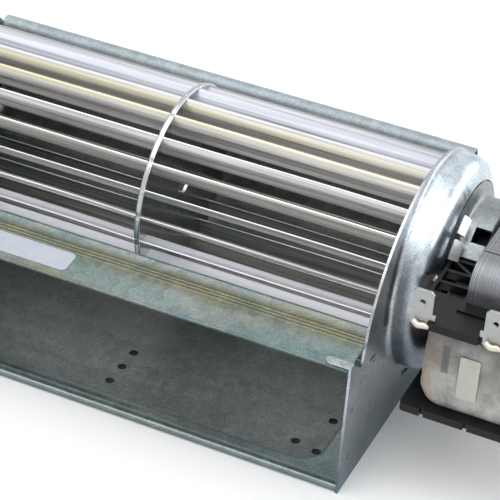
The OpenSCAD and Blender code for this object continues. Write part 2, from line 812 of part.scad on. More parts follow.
// The guard beside the core is an open lattice moulded with the top flange
module guard_windows_2d() {
    x0 = flange_x + rib_w;
    x1 = core_x - 1.2;
    y0 = -core_front + 2;
    y1 = -flange_back - rib_w;
    step = (y1 - y0 + rib_w) / 3;
    for (i = [0:2]) translate([x0, y0 + i * step]) square([x1 - x0, step - rib_w]);
}

module guard_brace_2d() {
    x0 = flange_x + rib_w / 2;
    y1 = -flange_back - rib_w / 2;
    step = (core_front - flange_back) / 3;
    hull() {
        translate([x0, y1]) circle(d = rib_w, $fn = 24);
        translate([core_x - 1.4, y1 - step]) circle(d = rib_w, $fn = 24);
    }
}

module bobbin() color("#1c1d1f") at_axle() difference() {
    union() {
        flat_z(flange_top - flange_t, flange_top) {
            difference() {
                flange_2d();
                guard_windows_2d();
            }
            guard_brace_2d();
        }
        flat_z(flange_top - EPS, flange_top + collar_h) translate([core_x - rib_w, tube_y0 - collar_w])
            square([core_len + 2 * rib_w, collar_w]);
        flat_z(-flange_low, -flange_low + flange_t) flange_2d();
        flat_z(-flange_low + EPS, flange_top - EPS) difference() {
            translate([core_x - leg_gap - tube_wall, tube_y0 - tube_wall])
                square([core_len + 2 * leg_gap + 2 * tube_wall, tube_y1 - tube_y0 + 2 * tube_wall]);
            leg_hole_2d();
        }
    }
    tab_slots();
    // The flange is cut away in front of each tab, where its wire comes up
    for (i = [0, 1]) translate([tab_x + i * tab_pitch - tab_w / 2 - 1, -flange_front - 1, coil_z1 - 1])
        cube([tab_w, 1.9, flange_t + 2]);
    // Notches in the bottom flange's front edge
    for (x = [flange_x + 6.4, flange_x + 19.6]) translate([x, -flange_front - 1, -flange_low - 1])
        cube([1.2, 2.2, flange_t + 2]);
}

module coil_2d(inset) difference() {
    round_rect([flange_x + coil_inset + inset, -flange_front + coil_inset + inset],
        [flange_far_x - coil_inset - inset, -flange_back - 0.4], coil_corner_r - inset);
    translate([core_x - leg_gap - tube_wall - seat_gap, tube_y0 - tube_wall - seat_gap])
        square([core_len + 2 * (leg_gap + tube_wall + seat_gap),
            tube_y1 - tube_y0 + 2 * (tube_wall + seat_gap)]);
}

module coil() color("#e6ddd0") at_axle() {
    flat_z(coil_z0 + seat_gap, coil_z1 - seat_gap) coil_2d(1.2);
    flat_z(coil_z0 + 1.6, coil_z1 - 1.6) coil_2d(0);
}

// Terminals

module tab_slots() {
    for (i = [0, 1]) translate([tab_x + i * tab_pitch, tab_y, flange_top - tab_root - EPS])
        translate([-tab_w / 2 - 0.1, -tab_t / 2 - 0.05, 0]) cube([tab_w + 0.2, tab_t + 0.1, tab_root + 1]);
}

// A quick connect tab with chamfered top corners, shoulders and a latch hole
module one_tab() rotate([90, 0, 0]) translate([0, 0, -tab_t / 2]) linear_extrude(tab_t) difference() {
    union() {
        polygon([[-tab_w / 2, -tab_root], [tab_w / 2, -tab_root], [tab_w / 2, tab_h - 1],
            [tab_w / 2 - 1, tab_h], [-tab_w / 2 + 1, tab_h], [-tab_w / 2, tab_h - 1]]);
        translate([-tab_w / 2 - 1, 0.1]) square([tab_w + 2, 1.8]);
    }
    translate([0, tab_h - 4]) circle(tab_hole_r);
}

module tab_terminals() color("#d3d0c6") at_axle() {
    for (i = [0, 1]) translate([tab_x + i * tab_pitch, tab_y, flange_top]) one_tab();
}

// The coil's wire ends are crimped to the front of the tabs' shoulders
module wire_crimps() color("#a98a62") at_axle() {
    for (i = [0, 1]) translate([tab_x + i * tab_pitch - 1.8, tab_y - tab_t / 2 - 0.85, flange_top - 1.3])
        rotate([0, 90, 0]) cylinder(h = 3.6, r = 0.8);
}

// Fasteners and rear bracket

module core_spacers() color("#bfc2c5") at_axle() {
    for (s = [-1, 1]) translate([0, 0, s * screw_at]) tube_x(cup_end_x, core_x, spacer_r, screw_r + 0.1);
}

module core_screws() color("#c9ccce") at_axle() {
    for (s = [-1, 1]) translate([0, 0, s * screw_at]) {
        rod_x(cup_end_x - cup_t - screw_head_t, cup_end_x - cup_t, screw_head_r);
        rod_x(cup_end_x - cup_t - EPS, nut_x() + screw_head_t + 1, screw_r);
    }
}

function nut_x() = core_end_x + rear_t;

module core_nuts() color("#b9bcbe") at_axle() {
    for (s = [-1, 1]) translate([nut_x(), 0, s * screw_at]) rotate([0, 90, 0]) difference() {
        cylinder(h = screw_head_t, r = screw_head_r, $fn = 6);
        translate([0, 0, -1]) cylinder(h = screw_head_t + 2, r = screw_r + seat_gap);
    }
}

function rear_bush_x() = rear_x - bush_len;

// A bridge strap whose feet lie on the core and whose crown carries the rear bush
module rear_bracket() color("#b3b6b9") at_axle() difference() {
    union() {
        strap_foot = screw_at + screw_head_r + 1.5;
        rotate([90, 0, 0]) translate([0, 0, -rear_w / 2]) linear_extrude(rear_w)
            for (s = [0, 1]) mirror([0, s]) sheet_2d([[core_end_x, strap_foot], [core_end_x, strap_inner()],
                [rear_x - rear_t, strap_inner() - 1], [rear_x - rear_t, 0]], rear_t);
        rod_x(rear_x - rear_boss_len, rear_x, bush_r + 2.4);
    }
    rod_x(rear_x - rear_boss_len - 1, rear_x + 1, bush_r + seat_gap);
    for (s = [-1, 1]) translate([0, 0, s * screw_at])
        rod_x(core_end_x - 1, core_end_x + rear_t + 1, screw_r + 0.1);
}

function strap_inner() = screw_at - screw_head_r - 0.5 - rear_t;

module rear_bush() color("#8a7a5c") at_axle() bush(rear_bush_x());

module rear_retainer() color("#b4b9bd") at_axle()
    tube_x(rear_x + seat_gap, rear_x + seat_gap + 0.8, bush_r + 2.2, shaft_r + 1);

// Labels

module tongue_label() color("#f4f5f3") at_axle() translate([0, tongue_front[0], tongue_front[1]])
    rotate([tongue_tilt, 0, 0]) translate([0, 0, sheet_t]) linear_extrude(label_t)
    translate([-half_w + label_from_end, 0]) round_rect([0, label_at], [label_len, label_at + label_w], 1.6);

module coil_label() color("#efe9dc") at_axle()
    translate([core_x + 3.8, -flange_front + coil_inset, -9.4]) rotate([90, 0, 0]) linear_extrude(label_t)
    round_rect([0, 0], [6, 14.4], 0.6);

scroll();
tongue();
side_plate_motor();
side_plate_far();
wheel_blades();
middle_ring();
wheel_disc_motor();
wheel_disc_far();
wheel_hub();
hub_set_screw();
far_stub_shaft();
motor_shaft();
motor_cup();
far_cup();
cup_rivets();
cup_clips();
front_bush();
far_rubber_ring();
far_bush();
far_retainer();
stator_core();
stator_leg();
shading_rings();
rotor_core();
rotor_end_rings();
thrust_washers();
bobbin();
coil();
tab_terminals();
wire_crimps();
core_spacers();
core_screws();
core_nuts();
rear_bracket();
rear_bush();
rear_retainer();
tongue_label();
coil_label();
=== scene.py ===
import math

import bmesh
import bpy
import numpy as np
from mathutils import Matrix, Vector


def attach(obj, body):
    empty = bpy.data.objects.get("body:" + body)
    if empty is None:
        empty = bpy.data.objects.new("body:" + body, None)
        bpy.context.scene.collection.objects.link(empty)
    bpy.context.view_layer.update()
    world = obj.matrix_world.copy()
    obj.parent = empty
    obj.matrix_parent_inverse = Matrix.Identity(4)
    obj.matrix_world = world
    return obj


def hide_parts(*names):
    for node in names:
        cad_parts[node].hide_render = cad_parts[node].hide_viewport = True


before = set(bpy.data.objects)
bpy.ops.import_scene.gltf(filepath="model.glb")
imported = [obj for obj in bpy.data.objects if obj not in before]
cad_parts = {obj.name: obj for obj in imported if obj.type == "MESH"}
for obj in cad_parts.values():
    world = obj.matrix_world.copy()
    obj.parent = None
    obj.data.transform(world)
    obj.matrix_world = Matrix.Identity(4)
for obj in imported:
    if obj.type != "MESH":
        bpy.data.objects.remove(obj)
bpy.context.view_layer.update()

bl_info = {
    "name": "Cross-flow blower",
    "version": (1, 0, 0),
    "blender": (4, 5, 0),
    "location": "View3D > Sidebar > Blower",
    "description": "Dresses the packed blower and its shaded-pole motor in surfaces and finishes",
    "category": "Object",
}

MM = 0.001          # shapes are worked out in millimetres, materials and lamps in metres
AXLE_Y = 34.0       # the wheel's axis, behind the origin
AXLE_Z = 48.5       # the wheel's axis, above the base plane
SHEET = 0.8         # thickness of the housing's sheet
BLADES = 23         # blades of the wheel
WHEEL_HALF = 85.5   # the blades' reach from the middle ring to each end
DISC_X = 85.0       # middle of each end disc
RIM_R = 32.2        # outer radius of the middle ring and the end discs

EYE = (235.35, -515.85, 359.03)   # the camera, from the middle of the wheel
AIM = (24.61, 0.0, -17.54)        # what it looks at, from the middle of the wheel
ROLL = 4.48                       # its turn about the line of sight, in degrees

BLADE_LOOKS = ("painted_warm_glint", "tone", "painted_sky_sheen")     # attributes that steer the blades' material: a painted warm glint, a random tone, and a painted sky reflection at 1 and a painted pale highlight at -1


# ---------------------------------------------------------------- sizes and colours

class BlowerFinish(bpy.types.PropertyGroup):
    """Colours and finish of the blower's surfaces."""

    zinc: bpy.props.FloatVectorProperty(
        name="Zinc", description="Colour of the galvanised sheet", subtype="COLOR",
        size=3, min=0, max=1, default=(0.50, 0.55, 0.56))
    # painted shade: the scroll's whole sheet is a darker copy of the zinc, for the shade in the outlet
    zinc_in_painted_shade: bpy.props.FloatVectorProperty(
        name="Zinc inside", description="Colour of the sheet in the outlet", subtype="COLOR",
        size=3, min=0, max=1, default=(0.27, 0.30, 0.293))
    tongue: bpy.props.FloatVectorProperty(
        name="Tongue", description="Colour of the tongue's sheet", subtype="COLOR",
        size=3, min=0, max=1, default=(0.262, 0.30, 0.288))
    plate: bpy.props.FloatVectorProperty(
        name="Plate", description="Colour of the flat side plates", subtype="COLOR",
        size=3, min=0, max=1, default=(0.50, 0.52, 0.55))
    # painted light: the domes are the plates' own sheet, given a lighter, bluer colour from which the painted
    # light and shade on them are scaled
    dome_painted_light: bpy.props.FloatVectorProperty(
        name="Dome", description="Colour of the drawn domes", subtype="COLOR",
        size=3, min=0, max=1, default=(0.72, 0.78, 0.85))
    blade: bpy.props.FloatVectorProperty(
        name="Blade", description="Colour of the wheel's aluminium", subtype="COLOR",
        size=3, min=0, max=1, default=(0.65, 0.65, 0.655))
    tape: bpy.props.FloatVectorProperty(
        name="Tape", description="Colour of the coil's tape", subtype="COLOR",
        size=3, min=0, max=1, default=(0.44, 0.43, 0.40))
    plastic: bpy.props.FloatVectorProperty(
        name="Plastic", description="Colour of the bobbin", subtype="COLOR",
        size=3, min=0, max=1, default=(0.007, 0.0075, 0.009))
    spangle: bpy.props.FloatProperty(
        name="Spangle", description="Size of the zinc's crystals", subtype="DISTANCE",
        unit="LENGTH", min=0.0005, max=0.02, default=0.0032)


class BlowerView(bpy.types.PropertyGroup):
    """Camera and light."""

    lens: bpy.props.FloatProperty(
        name="Lens", description="Focal length on a 36 mm sensor", min=20, max=400, default=153.36)
    key: bpy.props.FloatProperty(
        name="Key light", description="Power of the large lamp over the outlet", unit="POWER",
        min=0, max=100, default=3.9)
    sky: bpy.props.FloatProperty(
        name="Sky", description="Strength of the wide soft light from above",
        min=0, max=20, default=1.42)
    fill: bpy.props.FloatProperty(
        name="Fill light", description="Power of the lamp on the motor's side", unit="POWER",
        min=0, max=100, default=1.0)


# ---------------------------------------------------------------- small helpers for shader trees

class Tree:
    """A shader tree that is filled from left to right."""

    def __init__(self, name):
        self.mat = bpy.data.materials.new(name)
        self.mat.use_nodes = True
        self.nodes = self.mat.node_tree.nodes
        self.links = self.mat.node_tree.links
        self.nodes.clear()
        out = self.nodes.new("ShaderNodeOutputMaterial")
        self.bsdf = self.nodes.new("ShaderNodeBsdfPrincipled")
        self.links.new(self.bsdf.outputs[0], out.inputs[0])
        self.place = self.nodes.new("ShaderNodeTexCoord").outputs["Object"]

    def fill(self, socket, value):
        """Links a socket to another, or sets a fixed number or colour on it."""
        if isinstance(value, bpy.types.NodeSocket):
            self.links.new(value, socket)
        else:
            socket.default_value = (*value, 1) if isinstance(value, (tuple, list)) else value

    def set(self, **values):
        """Fills the shader's own inputs, whose names have an underscore for a space."""
        for key, value in values.items():
            self.fill(self.bsdf.inputs[key.replace("_", " ")], value)
        return self

    def scaled(self, scale):
        """The place on the piece, stretched along each axis."""
        m = self.nodes.new("ShaderNodeMapping")
        m.inputs["Scale"].default_value = scale
        self.links.new(self.place, m.inputs["Vector"])
        return m.outputs[0]

    def texture(self, kind, where, **inputs):
        """A texture of one kind, read at a place, with its inputs set by name."""
        n = self.nodes.new("ShaderNodeTex" + kind)
        for key, value in inputs.items():
            n.inputs[key].default_value = value
        self.links.new(where or self.place, n.inputs["Vector"])
        return n

    def noise(self, scale, detail=3.0, rough=0.5, where=None, distortion=0.0):
        """Soft random patches, about as many to a metre as the scale."""
        n = self.texture("Noise", where, Scale=scale, Detail=detail, Roughness=rough, Distortion=distortion)
        return n.outputs["Fac"]

    def cells(self, scale):
        """A random colour for each cell round its nearest random point."""
        return self.texture("Voronoi", None, Scale=scale).outputs["Color"]

    def wave(self, scale, direction="X", distortion=0.0, detail=0.0, where=None):
        """Even bands that follow each other along one axis."""
        n = self.texture("Wave", where, Scale=scale, Distortion=distortion, Detail=detail)
        n.bands_direction = direction
        return n.outputs["Fac"]

    def ramp(self, value, *stops):
        """A value turned into a grey or a colour by stops: a place from 0 to 1, and what stands there."""
        r = self.nodes.new("ShaderNodeValToRGB")
        e = r.color_ramp.elements
        while len(e) < len(stops):
            e.new(0.5)
        for item, (pos, col) in zip(e, stops):
            item.position = pos
            col = (col,) * 3 if isinstance(col, (int, float)) else col
            item.color = (*col, 1)
        self.links.new(value, r.inputs["Fac"])
        return r.outputs["Color"]

    def mix(self, a, b, factor, how="MIX"):
        m = self.nodes.new("ShaderNodeMix")
        m.data_type = "RGBA"
        m.blend_type = how
        for index, value in ((0, factor), (6, a), (7, b)):
            self.fill(m.inputs[index], value)
        return m.outputs[2]

    def times(self, a, b):
        """Two colours multiplied."""
        return self.mix(a, b, 1.0, "MULTIPLY")

    def tinted(self, base, by, factor):
        """The base multiplied by a colour, as far as the factor says."""
        return self.mix(base, self.times(base, by), factor)

    def math(self, how, a, b=0.0):
        m = self.nodes.new("ShaderNodeMath")
        m.operation = how
        self.fill(m.inputs[0], a)
        self.fill(m.inputs[1], b)
        return m.outputs[0]

    def part(self, axis):
        """The place along one axis: 0 is X, 1 is Y and 2 is Z."""
        s = self.nodes.new("ShaderNodeSeparateXYZ")
        self.links.new(self.place, s.inputs[0])
        return s.outputs[axis]

    def zoned(self, colour, zones):
        """The colour turned into that of each zone, which is (axis, from, to, its colour, zones in it)."""
        for axis, start, end, other, *inner in zones:
            low, span = min(start, end), abs(end - start)
            place = self.math("MULTIPLY", self.math("SUBTRACT", self.part(axis), low), 1 / span)
            share = self.ramp(place, (0.0, float(end < start)), (1.0, float(end > start)))
            colour = self.mix(colour, self.zoned(other, inner), share)
        return colour

    def from_frame(self, centre, half, r):
        """Distance in metres from a rectangle with round corners that lies flat, negative inside it.

        It is the length of what is left of the place from the centre, without its sign, once the half size
        less the corner's radius is taken off, and then less that radius.
        """
        def vec(how, a, b):
            m = self.nodes.new("ShaderNodeVectorMath")
            m.operation = how
            self.links.new(a, m.inputs[0])
            m.inputs[1].default_value = b
            return m.outputs["Value" if how == "LENGTH" else "Vector"]

        p = vec("ABSOLUTE", vec("SUBTRACT", self.place, (*centre, 0)), (0, 0, 0))
        p = vec("MAXIMUM", vec("SUBTRACT", p, (half[0] - r, half[1] - r, 0)), (0, 0, 0))
        return self.math("SUBTRACT", vec("LENGTH", vec("MULTIPLY", p, (1, 1, 0)), (0, 0, 0)), r)

    def between(self, axis, low, high, soft):
        """One between two places along an axis and zero outside, with soft borders."""
        place = self.part(axis)
        sides = [self.ramp(self.math("DIVIDE", self.math("SUBTRACT", a, b), soft), (0.0, 0.0), (1.0, 1.0))
                 for a, b in ((place, low), (high, place))]
        return self.math("MULTIPLY", *sides)

    def attribute(self, name):
        a = self.nodes.new("ShaderNodeAttribute")
        a.attribute_name = name
        return a.outputs["Fac"]

    def bump(self, height, strength, distance):
        """A height on the surface, whose full step is the distance in metres."""
        b = self.nodes.new("ShaderNodeBump")
        b.inputs["Strength"].default_value = strength
        b.inputs["Distance"].default_value = distance
        self.links.new(height, b.inputs["Height"])
        self.links.new(b.outputs[0], self.bsdf.inputs["Normal"])
        return self


def shade(colour, k):
    """The colour made darker or lighter by the factor k."""
    return tuple(min(1.0, c * k) for c in colour)


def galvanised(name, colour, spangle, rough=(0.26, 0.46), smudge=0.5, dirt=(0.05, 0.055, 0.05), zones=(),
               mottle=0.0, panel=None, hatch=None, dull=None):
    """Zinc coated sheet: crystals that differ a little in tone and gloss, rubbed patches and dark smudges.

    The crystals are random cells in two sizes, whose tones multiply. The zones are those of Tree.zoned. The
    panel is a pressed panel's centre, half size and corner: painted shade darkens a thin line along its edge,
    and painted light makes the floor's sheet outside it paler and bluer. Hatch and dull are stretches as in
    Tree.between, with slanting marks and with less of a metal's gloss.
    """
    t = Tree(name).set(Metallic=1.0)
    cell, fine = t.cells(1 / spangle), t.cells(3.1 / spangle)
    tone = t.times(t.ramp(cell, (0.0, 0.80), (1.0, 1.08)), t.ramp(fine, (0.0, 0.93), (1.0, 1.05)))
    grit = t.ramp(t.noise(1700, 2, 0.7), (0.36, 0.80), (0.64, 1.16))
    base = t.times(t.times(t.zoned(colour, zones), tone), grit)
    if panel:
        off = t.math("MULTIPLY", t.from_frame(*panel), 1 / MM)
        # painted shade along the panel's step, and painted light, paler and bluer, on the floor's sheet outside it
        painted_step_shade = t.ramp(t.math("ABSOLUTE", t.math("ADD", off, 0.2)), (0.12, 0.34), (0.34, 1.0))
        painted_apron_light = t.ramp(off, (0.2, (1.0, 1.0, 1.0)), (0.95, (1.34, 1.50, 1.58)))
        floor_only = t.between(2, -0.001, 0.0032, 0.0003)
        base = t.tinted(base, t.times(painted_step_shade, painted_apron_light), floor_only)
    if mottle:
        blot = t.noise(34, 5, 0.6, t.scaled((0.45, 1, 1)), 0.8)
        stain = t.ramp(blot, (0.38, (0.70, 0.92, 0.93)), (0.50, (1.0, 1.0, 1.0)), (0.62, (1.06, 1.0, 0.66)))
        base = t.tinted(base, stain, mottle)
    if hatch:
        marks = t.ramp(t.wave(1.0, "X", 1.5, 2.0, t.scaled((420.0, 150.0, 0))), (0.30, 0.74), (0.62, 1.14))
        base = t.tinted(base, marks, t.between(1, *hatch))
    cloud = t.noise(38, 6, 0.62)
    spots = t.noise(210, 5, 0.7)
    base = t.tinted(base, (0.62, 0.62, 0.62), t.ramp(cloud, (0.42, 0.0), (0.78, smudge)))
    base = t.mix(base, dirt, t.ramp(spots, (0.60, 0.0), (0.74, smudge * 0.9)))
    gloss = t.mix(t.ramp(cell, (0.0, rough[0]), (1.0, rough[1])),
                  t.ramp(cloud, (0.3, rough[0]), (0.8, rough[1] + 0.1)), 0.5)
    t.set(Base_Color=base, Roughness=gloss)
    if dull:
        t.set(Metallic=t.ramp(t.between(*dull), (0.0, 1.0), (1.0, 0.3)))
    grain = t.mix(t.mix(cell, t.noise(900, 3), 0.35), t.noise(2300, 2, 0.6), 0.45)
    return t.bump(grain, 0.28, 0.00008).mat


def blade_metal(name, colour):
    """Rolled aluminium strip: fine streaks along the wheel, a tone of its own for each blade, painted glints on
    some edges.

    The blades' attributes steer it: the first is a painted yellowish glint, tone is a slight warmth, and the third
    is 1 where a blade gets a painted bluish sky reflection and is dull and -1 where it gets a painted pale
    highlight.
    """
    t = Tree(name).set(Metallic=1.0)
    painted_warm_glint, tone, painted_sky_sheen = (t.attribute(key) for key in BLADE_LOOKS)
    streak = t.noise(1.0, 4, 0.6, t.scaled((9, 1500, 1500)))
    patch = t.noise(60, 4, 0.6, t.scaled((0.3, 1, 1)))
    base = t.mix(shade(colour, 0.70), shade(colour, 1.20), t.ramp(streak, (0.36, 0.0), (0.58, 1.0)))
    base = t.tinted(base, (1.0, 0.97, 0.90), tone)
    base = t.mix(base, (0.44, 0.435, 0.41), t.ramp(patch, (0.48, 0.0), (0.80, 0.45)))
    # painted highlight: a yellowish glint on the edges of some blades
    base = t.mix(base, (0.56, 0.53, 0.34), t.math("MULTIPLY", painted_warm_glint, 0.85))
    # painted reflection: some blades tinted bluish as if they mirrored the sky
    base = t.tinted(base, (0.62, 0.64, 0.71), painted_sky_sheen)
    # painted highlight: other blades turned pale along their streaks
    pale = t.math("MULTIPLY", t.math("MULTIPLY", painted_sky_sheen, -1.0), t.ramp(streak, (0.3, 0.55), (0.6, 0.95)))
    base = t.mix(base, (0.94, 0.94, 1.0), pale)
    kind = t.math("MULTIPLY", t.math("ADD", painted_sky_sheen, 1.0), 0.5)
    t.set(Base_Color=base, Metallic=t.ramp(kind, (0.0, 0.35), (0.5, 1.0), (1.0, 0.55)),
          Roughness=t.ramp(streak, (0.2, 0.30), (0.8, 0.46)))
    return t.bump(streak, 0.20, 0.00005).mat


def turned_steel(name, colour=(0.55, 0.56, 0.58), rough=0.28, grain=0.12):
    """Bright turned or plated steel."""
    t = Tree(name).set(Metallic=1.0)
    n = t.noise(700, 4, 0.6)
    t.set(Base_Color=t.mix(shade(colour, 0.8), shade(colour, 1.1), n),
          Roughness=t.ramp(n, (0.3, rough - 0.06), (0.8, rough + 0.12)))
    return t.bump(n, grain, 0.00004).mat


def laminated(name, colour=(0.30, 0.31, 0.33)):
    """The core's stacked sheets: a fine line at every sheet edge, each sheet with its own tone."""
    t = Tree(name).set(Metallic=0.9)
    line = t.wave(1.0, "X", where=t.scaled((628.3, 0, 0)))     # one band for each half millimetre
    sheet = t.noise(2000, 0, 0.5, t.scaled((1, 0, 0)))
    rust = t.noise(120, 5, 0.65)
    base = t.mix(shade(colour, 0.55), shade(colour, 1.25), sheet)
    base = t.mix(base, shade(colour, 0.35), t.ramp(line, (0.0, 0.85), (0.28, 0.0)))
    base = t.mix(base, (0.16, 0.12, 0.09), t.ramp(rust, (0.56, 0.0), (0.8, 0.35)))
    t.set(Base_Color=base, Roughness=t.ramp(rust, (0.3, 0.36), (0.8, 0.6)))
    return t.bump(line, 0.6, 0.00012).mat


def moulded(name, colour, rough=0.42, dust=0.18):
    """Moulded plastic with a fine grain and a little pale dust on it."""
    t = Tree(name).set(Specular_IOR_Level=0.26)
    grain = t.noise(1600, 3, 0.6)
    film = t.noise(160, 5, 0.7)
    base = t.mix(colour, (0.20, 0.19, 0.17), t.ramp(film, (0.52, 0.0), (0.86, dust)))
    t.set(Base_Color=base, Roughness=t.ramp(film, (0.3, rough), (0.8, rough + 0.25)))
    return t.bump(grain, 0.12, 0.00005).mat


def tape(name, colour):
    """Cloth tape wound over the coil: a fine weave, stains of varnish and grease, and painted shade on its upper
    rim under the bobbin's flange.

    The weave is two crossed waves. The left end is browner, a short dark strip shows through on the front, and
    the tape turns paler towards its foot.
    """
    t = Tree(name).set(Roughness=0.62, Specular_IOR_Level=0.35)
    weave = t.mix(t.wave(1900, "X"), t.wave(1900, "Z"), 0.5)
    stain = t.noise(120, 6, 0.68, distortion=0.8)
    brown = t.noise(170, 4, 0.6)
    rubbed = t.ramp(t.noise(95, 3, 0.5), (0.52, 0.0), (0.72, 0.8))
    soiled = t.ramp(t.noise(420, 4, 0.7), (0.58, 0.0), (0.75, 0.55))
    left = t.ramp(t.math("MULTIPLY", t.math("SUBTRACT", t.part(0), 0.098), 125.0), (0.0, 1.0), (1.0, 0.0))
    left = t.math("MULTIPLY", left, t.ramp(brown, (0.36, 0.15), (0.6, 0.85)))
    strip = t.math("MULTIPLY", t.between(0, 0.1050, 0.1078, 0.0006), t.between(2, 0.0455, 0.0560, 0.0009))
    strip = t.math("MULTIPLY", strip, t.ramp(stain, (0.3, 0.85), (0.7, 0.45)))
    base = t.mix(colour, shade(colour, 0.50), t.ramp(stain, (0.42, 0.0), (0.66, 0.9)))
    base = t.mix(base, shade(colour, 1.5), rubbed)
    base = t.mix(base, (0.52, 0.36, 0.24), left)
    base = t.mix(base, (0.40, 0.26, 0.15), t.ramp(brown, (0.62, 0.0), (0.78, 0.5)))
    base = t.mix(base, shade(colour, 0.35), soiled)
    base = t.mix(base, (0.13, 0.13, 0.13), strip)
    # painted shade: the tape's top rim nearly black, under the bobbin's flange
    base = t.mix(base, (0.02, 0.02, 0.02), t.between(2, 0.0603, 0.0700, 0.0003))
    foot = t.zoned((0.62, 0.62, 0.63), ((2, 0.050, 0.034, (1.35, 1.37, 1.38)),))
    t.set(Base_Color=t.times(base, foot))
    return t.bump(t.mix(weave, stain, 0.6), 0.5, 0.00025).mat


def plain_paper(name, colour=(0.72, 0.74, 0.76)):
    """A blank sticker, faintly creased and handled."""
    t = Tree(name).set(Roughness=0.45)
    n = t.noise(220, 5, 0.65)
    t.set(Base_Color=t.mix(colour, shade(colour, 0.78), t.ramp(n, (0.45, 0.0), (0.8, 0.7))))
    return t.bump(n, 0.15, 0.0001).mat


def sintered(name, colour=(0.26, 0.20, 0.12)):
    """Sintered bronze, dark with oil."""
    t = Tree(name).set(Metallic=1.0)
    n = t.noise(2500, 3, 0.7)
    t.set(Base_Color=t.mix(shade(colour, 0.6), shade(colour, 1.4), n),
          Roughness=t.ramp(n, (0.3, 0.35), (0.8, 0.6)))
    return t.bump(n, 0.3, 0.00005).mat


def soft_rubber(name, colour=(0.02, 0.02, 0.021)):
    """Black rubber with a dry bloom."""
    t = Tree(name)
    n = t.noise(300, 5, 0.7)
    t.set(Base_Color=t.mix(colour, shade(colour, 3.0), n), Roughness=t.ramp(n, (0.2, 0.6), (0.8, 0.85)))
    return t.bump(n, 0.2, 0.0001).mat


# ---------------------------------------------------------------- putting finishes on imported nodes

def finish_nodes(material, *names):
    """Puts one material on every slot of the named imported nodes."""
    for n in names:
        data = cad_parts[n].data
        data.materials.clear()
        data.materials.append(material)


# ---------------------------------------------------------------- surfaces

def at_axle(points):
    """Points given from the wheel's axis, moved to the part's own frame, still in millimetres."""
    return np.asarray(points, float) + (0.0, AXLE_Y, AXLE_Z)


def put(name, data):
    """A new object in the scene."""
    obj = bpy.data.objects.new(name, data)
    bpy.context.scene.collection.objects.link(obj)
    return obj


def piece(name, points, faces, material, body, *nodes, slot=None, smooth=40.0):
    """One finished object at the origin, from points in millimetres; edges sharper than the angle stay sharp."""
    mesh = bpy.data.meshes.new(name)
    faces = faces if isinstance(faces, list) else faces.tolist()
    mesh.from_pydata((np.asarray(points, float) * MM).tolist(), [], faces)
    return dress(name, mesh, material, body, *nodes, slot=slot, smooth=smooth)


def dress(name, mesh, material, body, *nodes, slot=None, smooth=40.0):
    """Links a mesh as a piece that rides on a body and stands for the named nodes."""
    mesh.shade_smooth()
    mesh.set_sharp_from_angle(angle=math.radians(smooth))
    mesh.materials.clear()
    mesh.materials.append(material)
    obj = put(name, mesh)
    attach(obj, body)
    if nodes:
        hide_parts(*nodes)
    return obj


def grid_faces(rows, cols, close_rows=False, close_cols=False):
    """Quads that join a grid of points row by row, with the last row or column joined to the first if closed."""
    r = np.arange(rows if close_rows else rows - 1)
    c = np.arange(cols if close_cols else cols - 1)
    r, c = np.meshgrid(r, c, indexing="ij")
    r1, c1 = (r + 1) % rows, (c + 1) % cols
    return np.stack([r * cols + c, r * cols + c1, r1 * cols + c1, r1 * cols + c], -1).reshape(-1, 4)


def outward(points, faces):
    """The faces turned so that the volume is positive, as the sum of each face's wedge to the origin."""
    p = np.asarray(points)
    f = np.asarray(faces)
    a, b, c, d = (p[f[:, k]] for k in range(4))
    volume = sum(np.einsum("ij,ij->i", u, np.cross(v, w)).sum() for u, v, w in ((a, b, c), (a, c, d)))
    return f if volume > 0 else f[:, ::-1]


def unit(vector):
    """The vector with a length of one."""
    return vector / np.linalg.norm(vector)


def fillet(corners, radii, step=8.0):
    """A flat path through the corners, each rounded with its radius by an arc in steps of some degrees.

    The arc's centre lies on the corner's middle line, at the radius over the sine of half the angle.
    """
    corners = np.asarray(corners, float)
    out = [corners[0]]
    for p, q, r, rad in zip(corners[:-2], corners[1:-1], corners[2:], radii):
        u, v = unit(p - q), unit(r - q)
        half = math.acos(np.clip(u @ v, -1, 1)) / 2
        if rad <= 0 or math.pi / 2 - half < 1e-4:
            out.append(q)
            continue
        centre = q + unit(u + v) * rad / math.sin(half)
        a, b = q + u * rad / math.tan(half) - centre, q + v * rad / math.tan(half) - centre
        sweep = math.pi - 2 * half
        t = np.linspace(0, 1, max(2, int(math.degrees(sweep) / step) + 2))[:, None]
        arc = (np.sin((1 - t) * sweep) * a + np.sin(t * sweep) * b) / math.sin(sweep)
        out.extend(centre + arc)
    out.append(corners[-1])
    return np.array(out)


def normals_2d(path):
    """Unit normals on the left of an open flat path, averaged at its points."""
    d = np.gradient(path, axis=0)
    d /= np.linalg.norm(d, axis=1)[:, None]
    return np.stack([-d[:, 1], d[:, 0]], 1)


def sheet_loop(path, t, edge=0.3):
    """The closed outline of a bent sheet: the path, the path moved sideways by t, and eased ends.

    Each end is half an ellipse, as deep as the edge's share of the thickness.
    """
    back = path + normals_2d(path) * t

    def cap(a, b, out):
        middle, half = (a + b) / 2, (b - a) / 2
        k = np.linspace(0, math.pi, 7)[1:-1, None]
        return middle - half * np.cos(k) + out * np.sin(k) * t * edge

    first, last = unit(path[0] - path[1]), unit(path[-1] - path[-2])
    return np.concatenate([path, cap(path[-1], back[-1], last), back[::-1], cap(back[0], path[0], first)])


def drawn_along(loop, stations, shift):
    """A closed outline in Y and Z carried along X through the stations, moved by shift(points), with flat ends."""
    n, m = len(stations), len(loop)
    p = np.empty((n, m, 3))
    p[..., 0] = stations[:, None]
    p[..., 1:] = loop[None]
    pts = (p + shift(p)).reshape(-1, 3)
    return pts, with_lids(outward(pts, grid_faces(n, m, close_cols=True)), range(m), range((n - 1) * m, n * m))


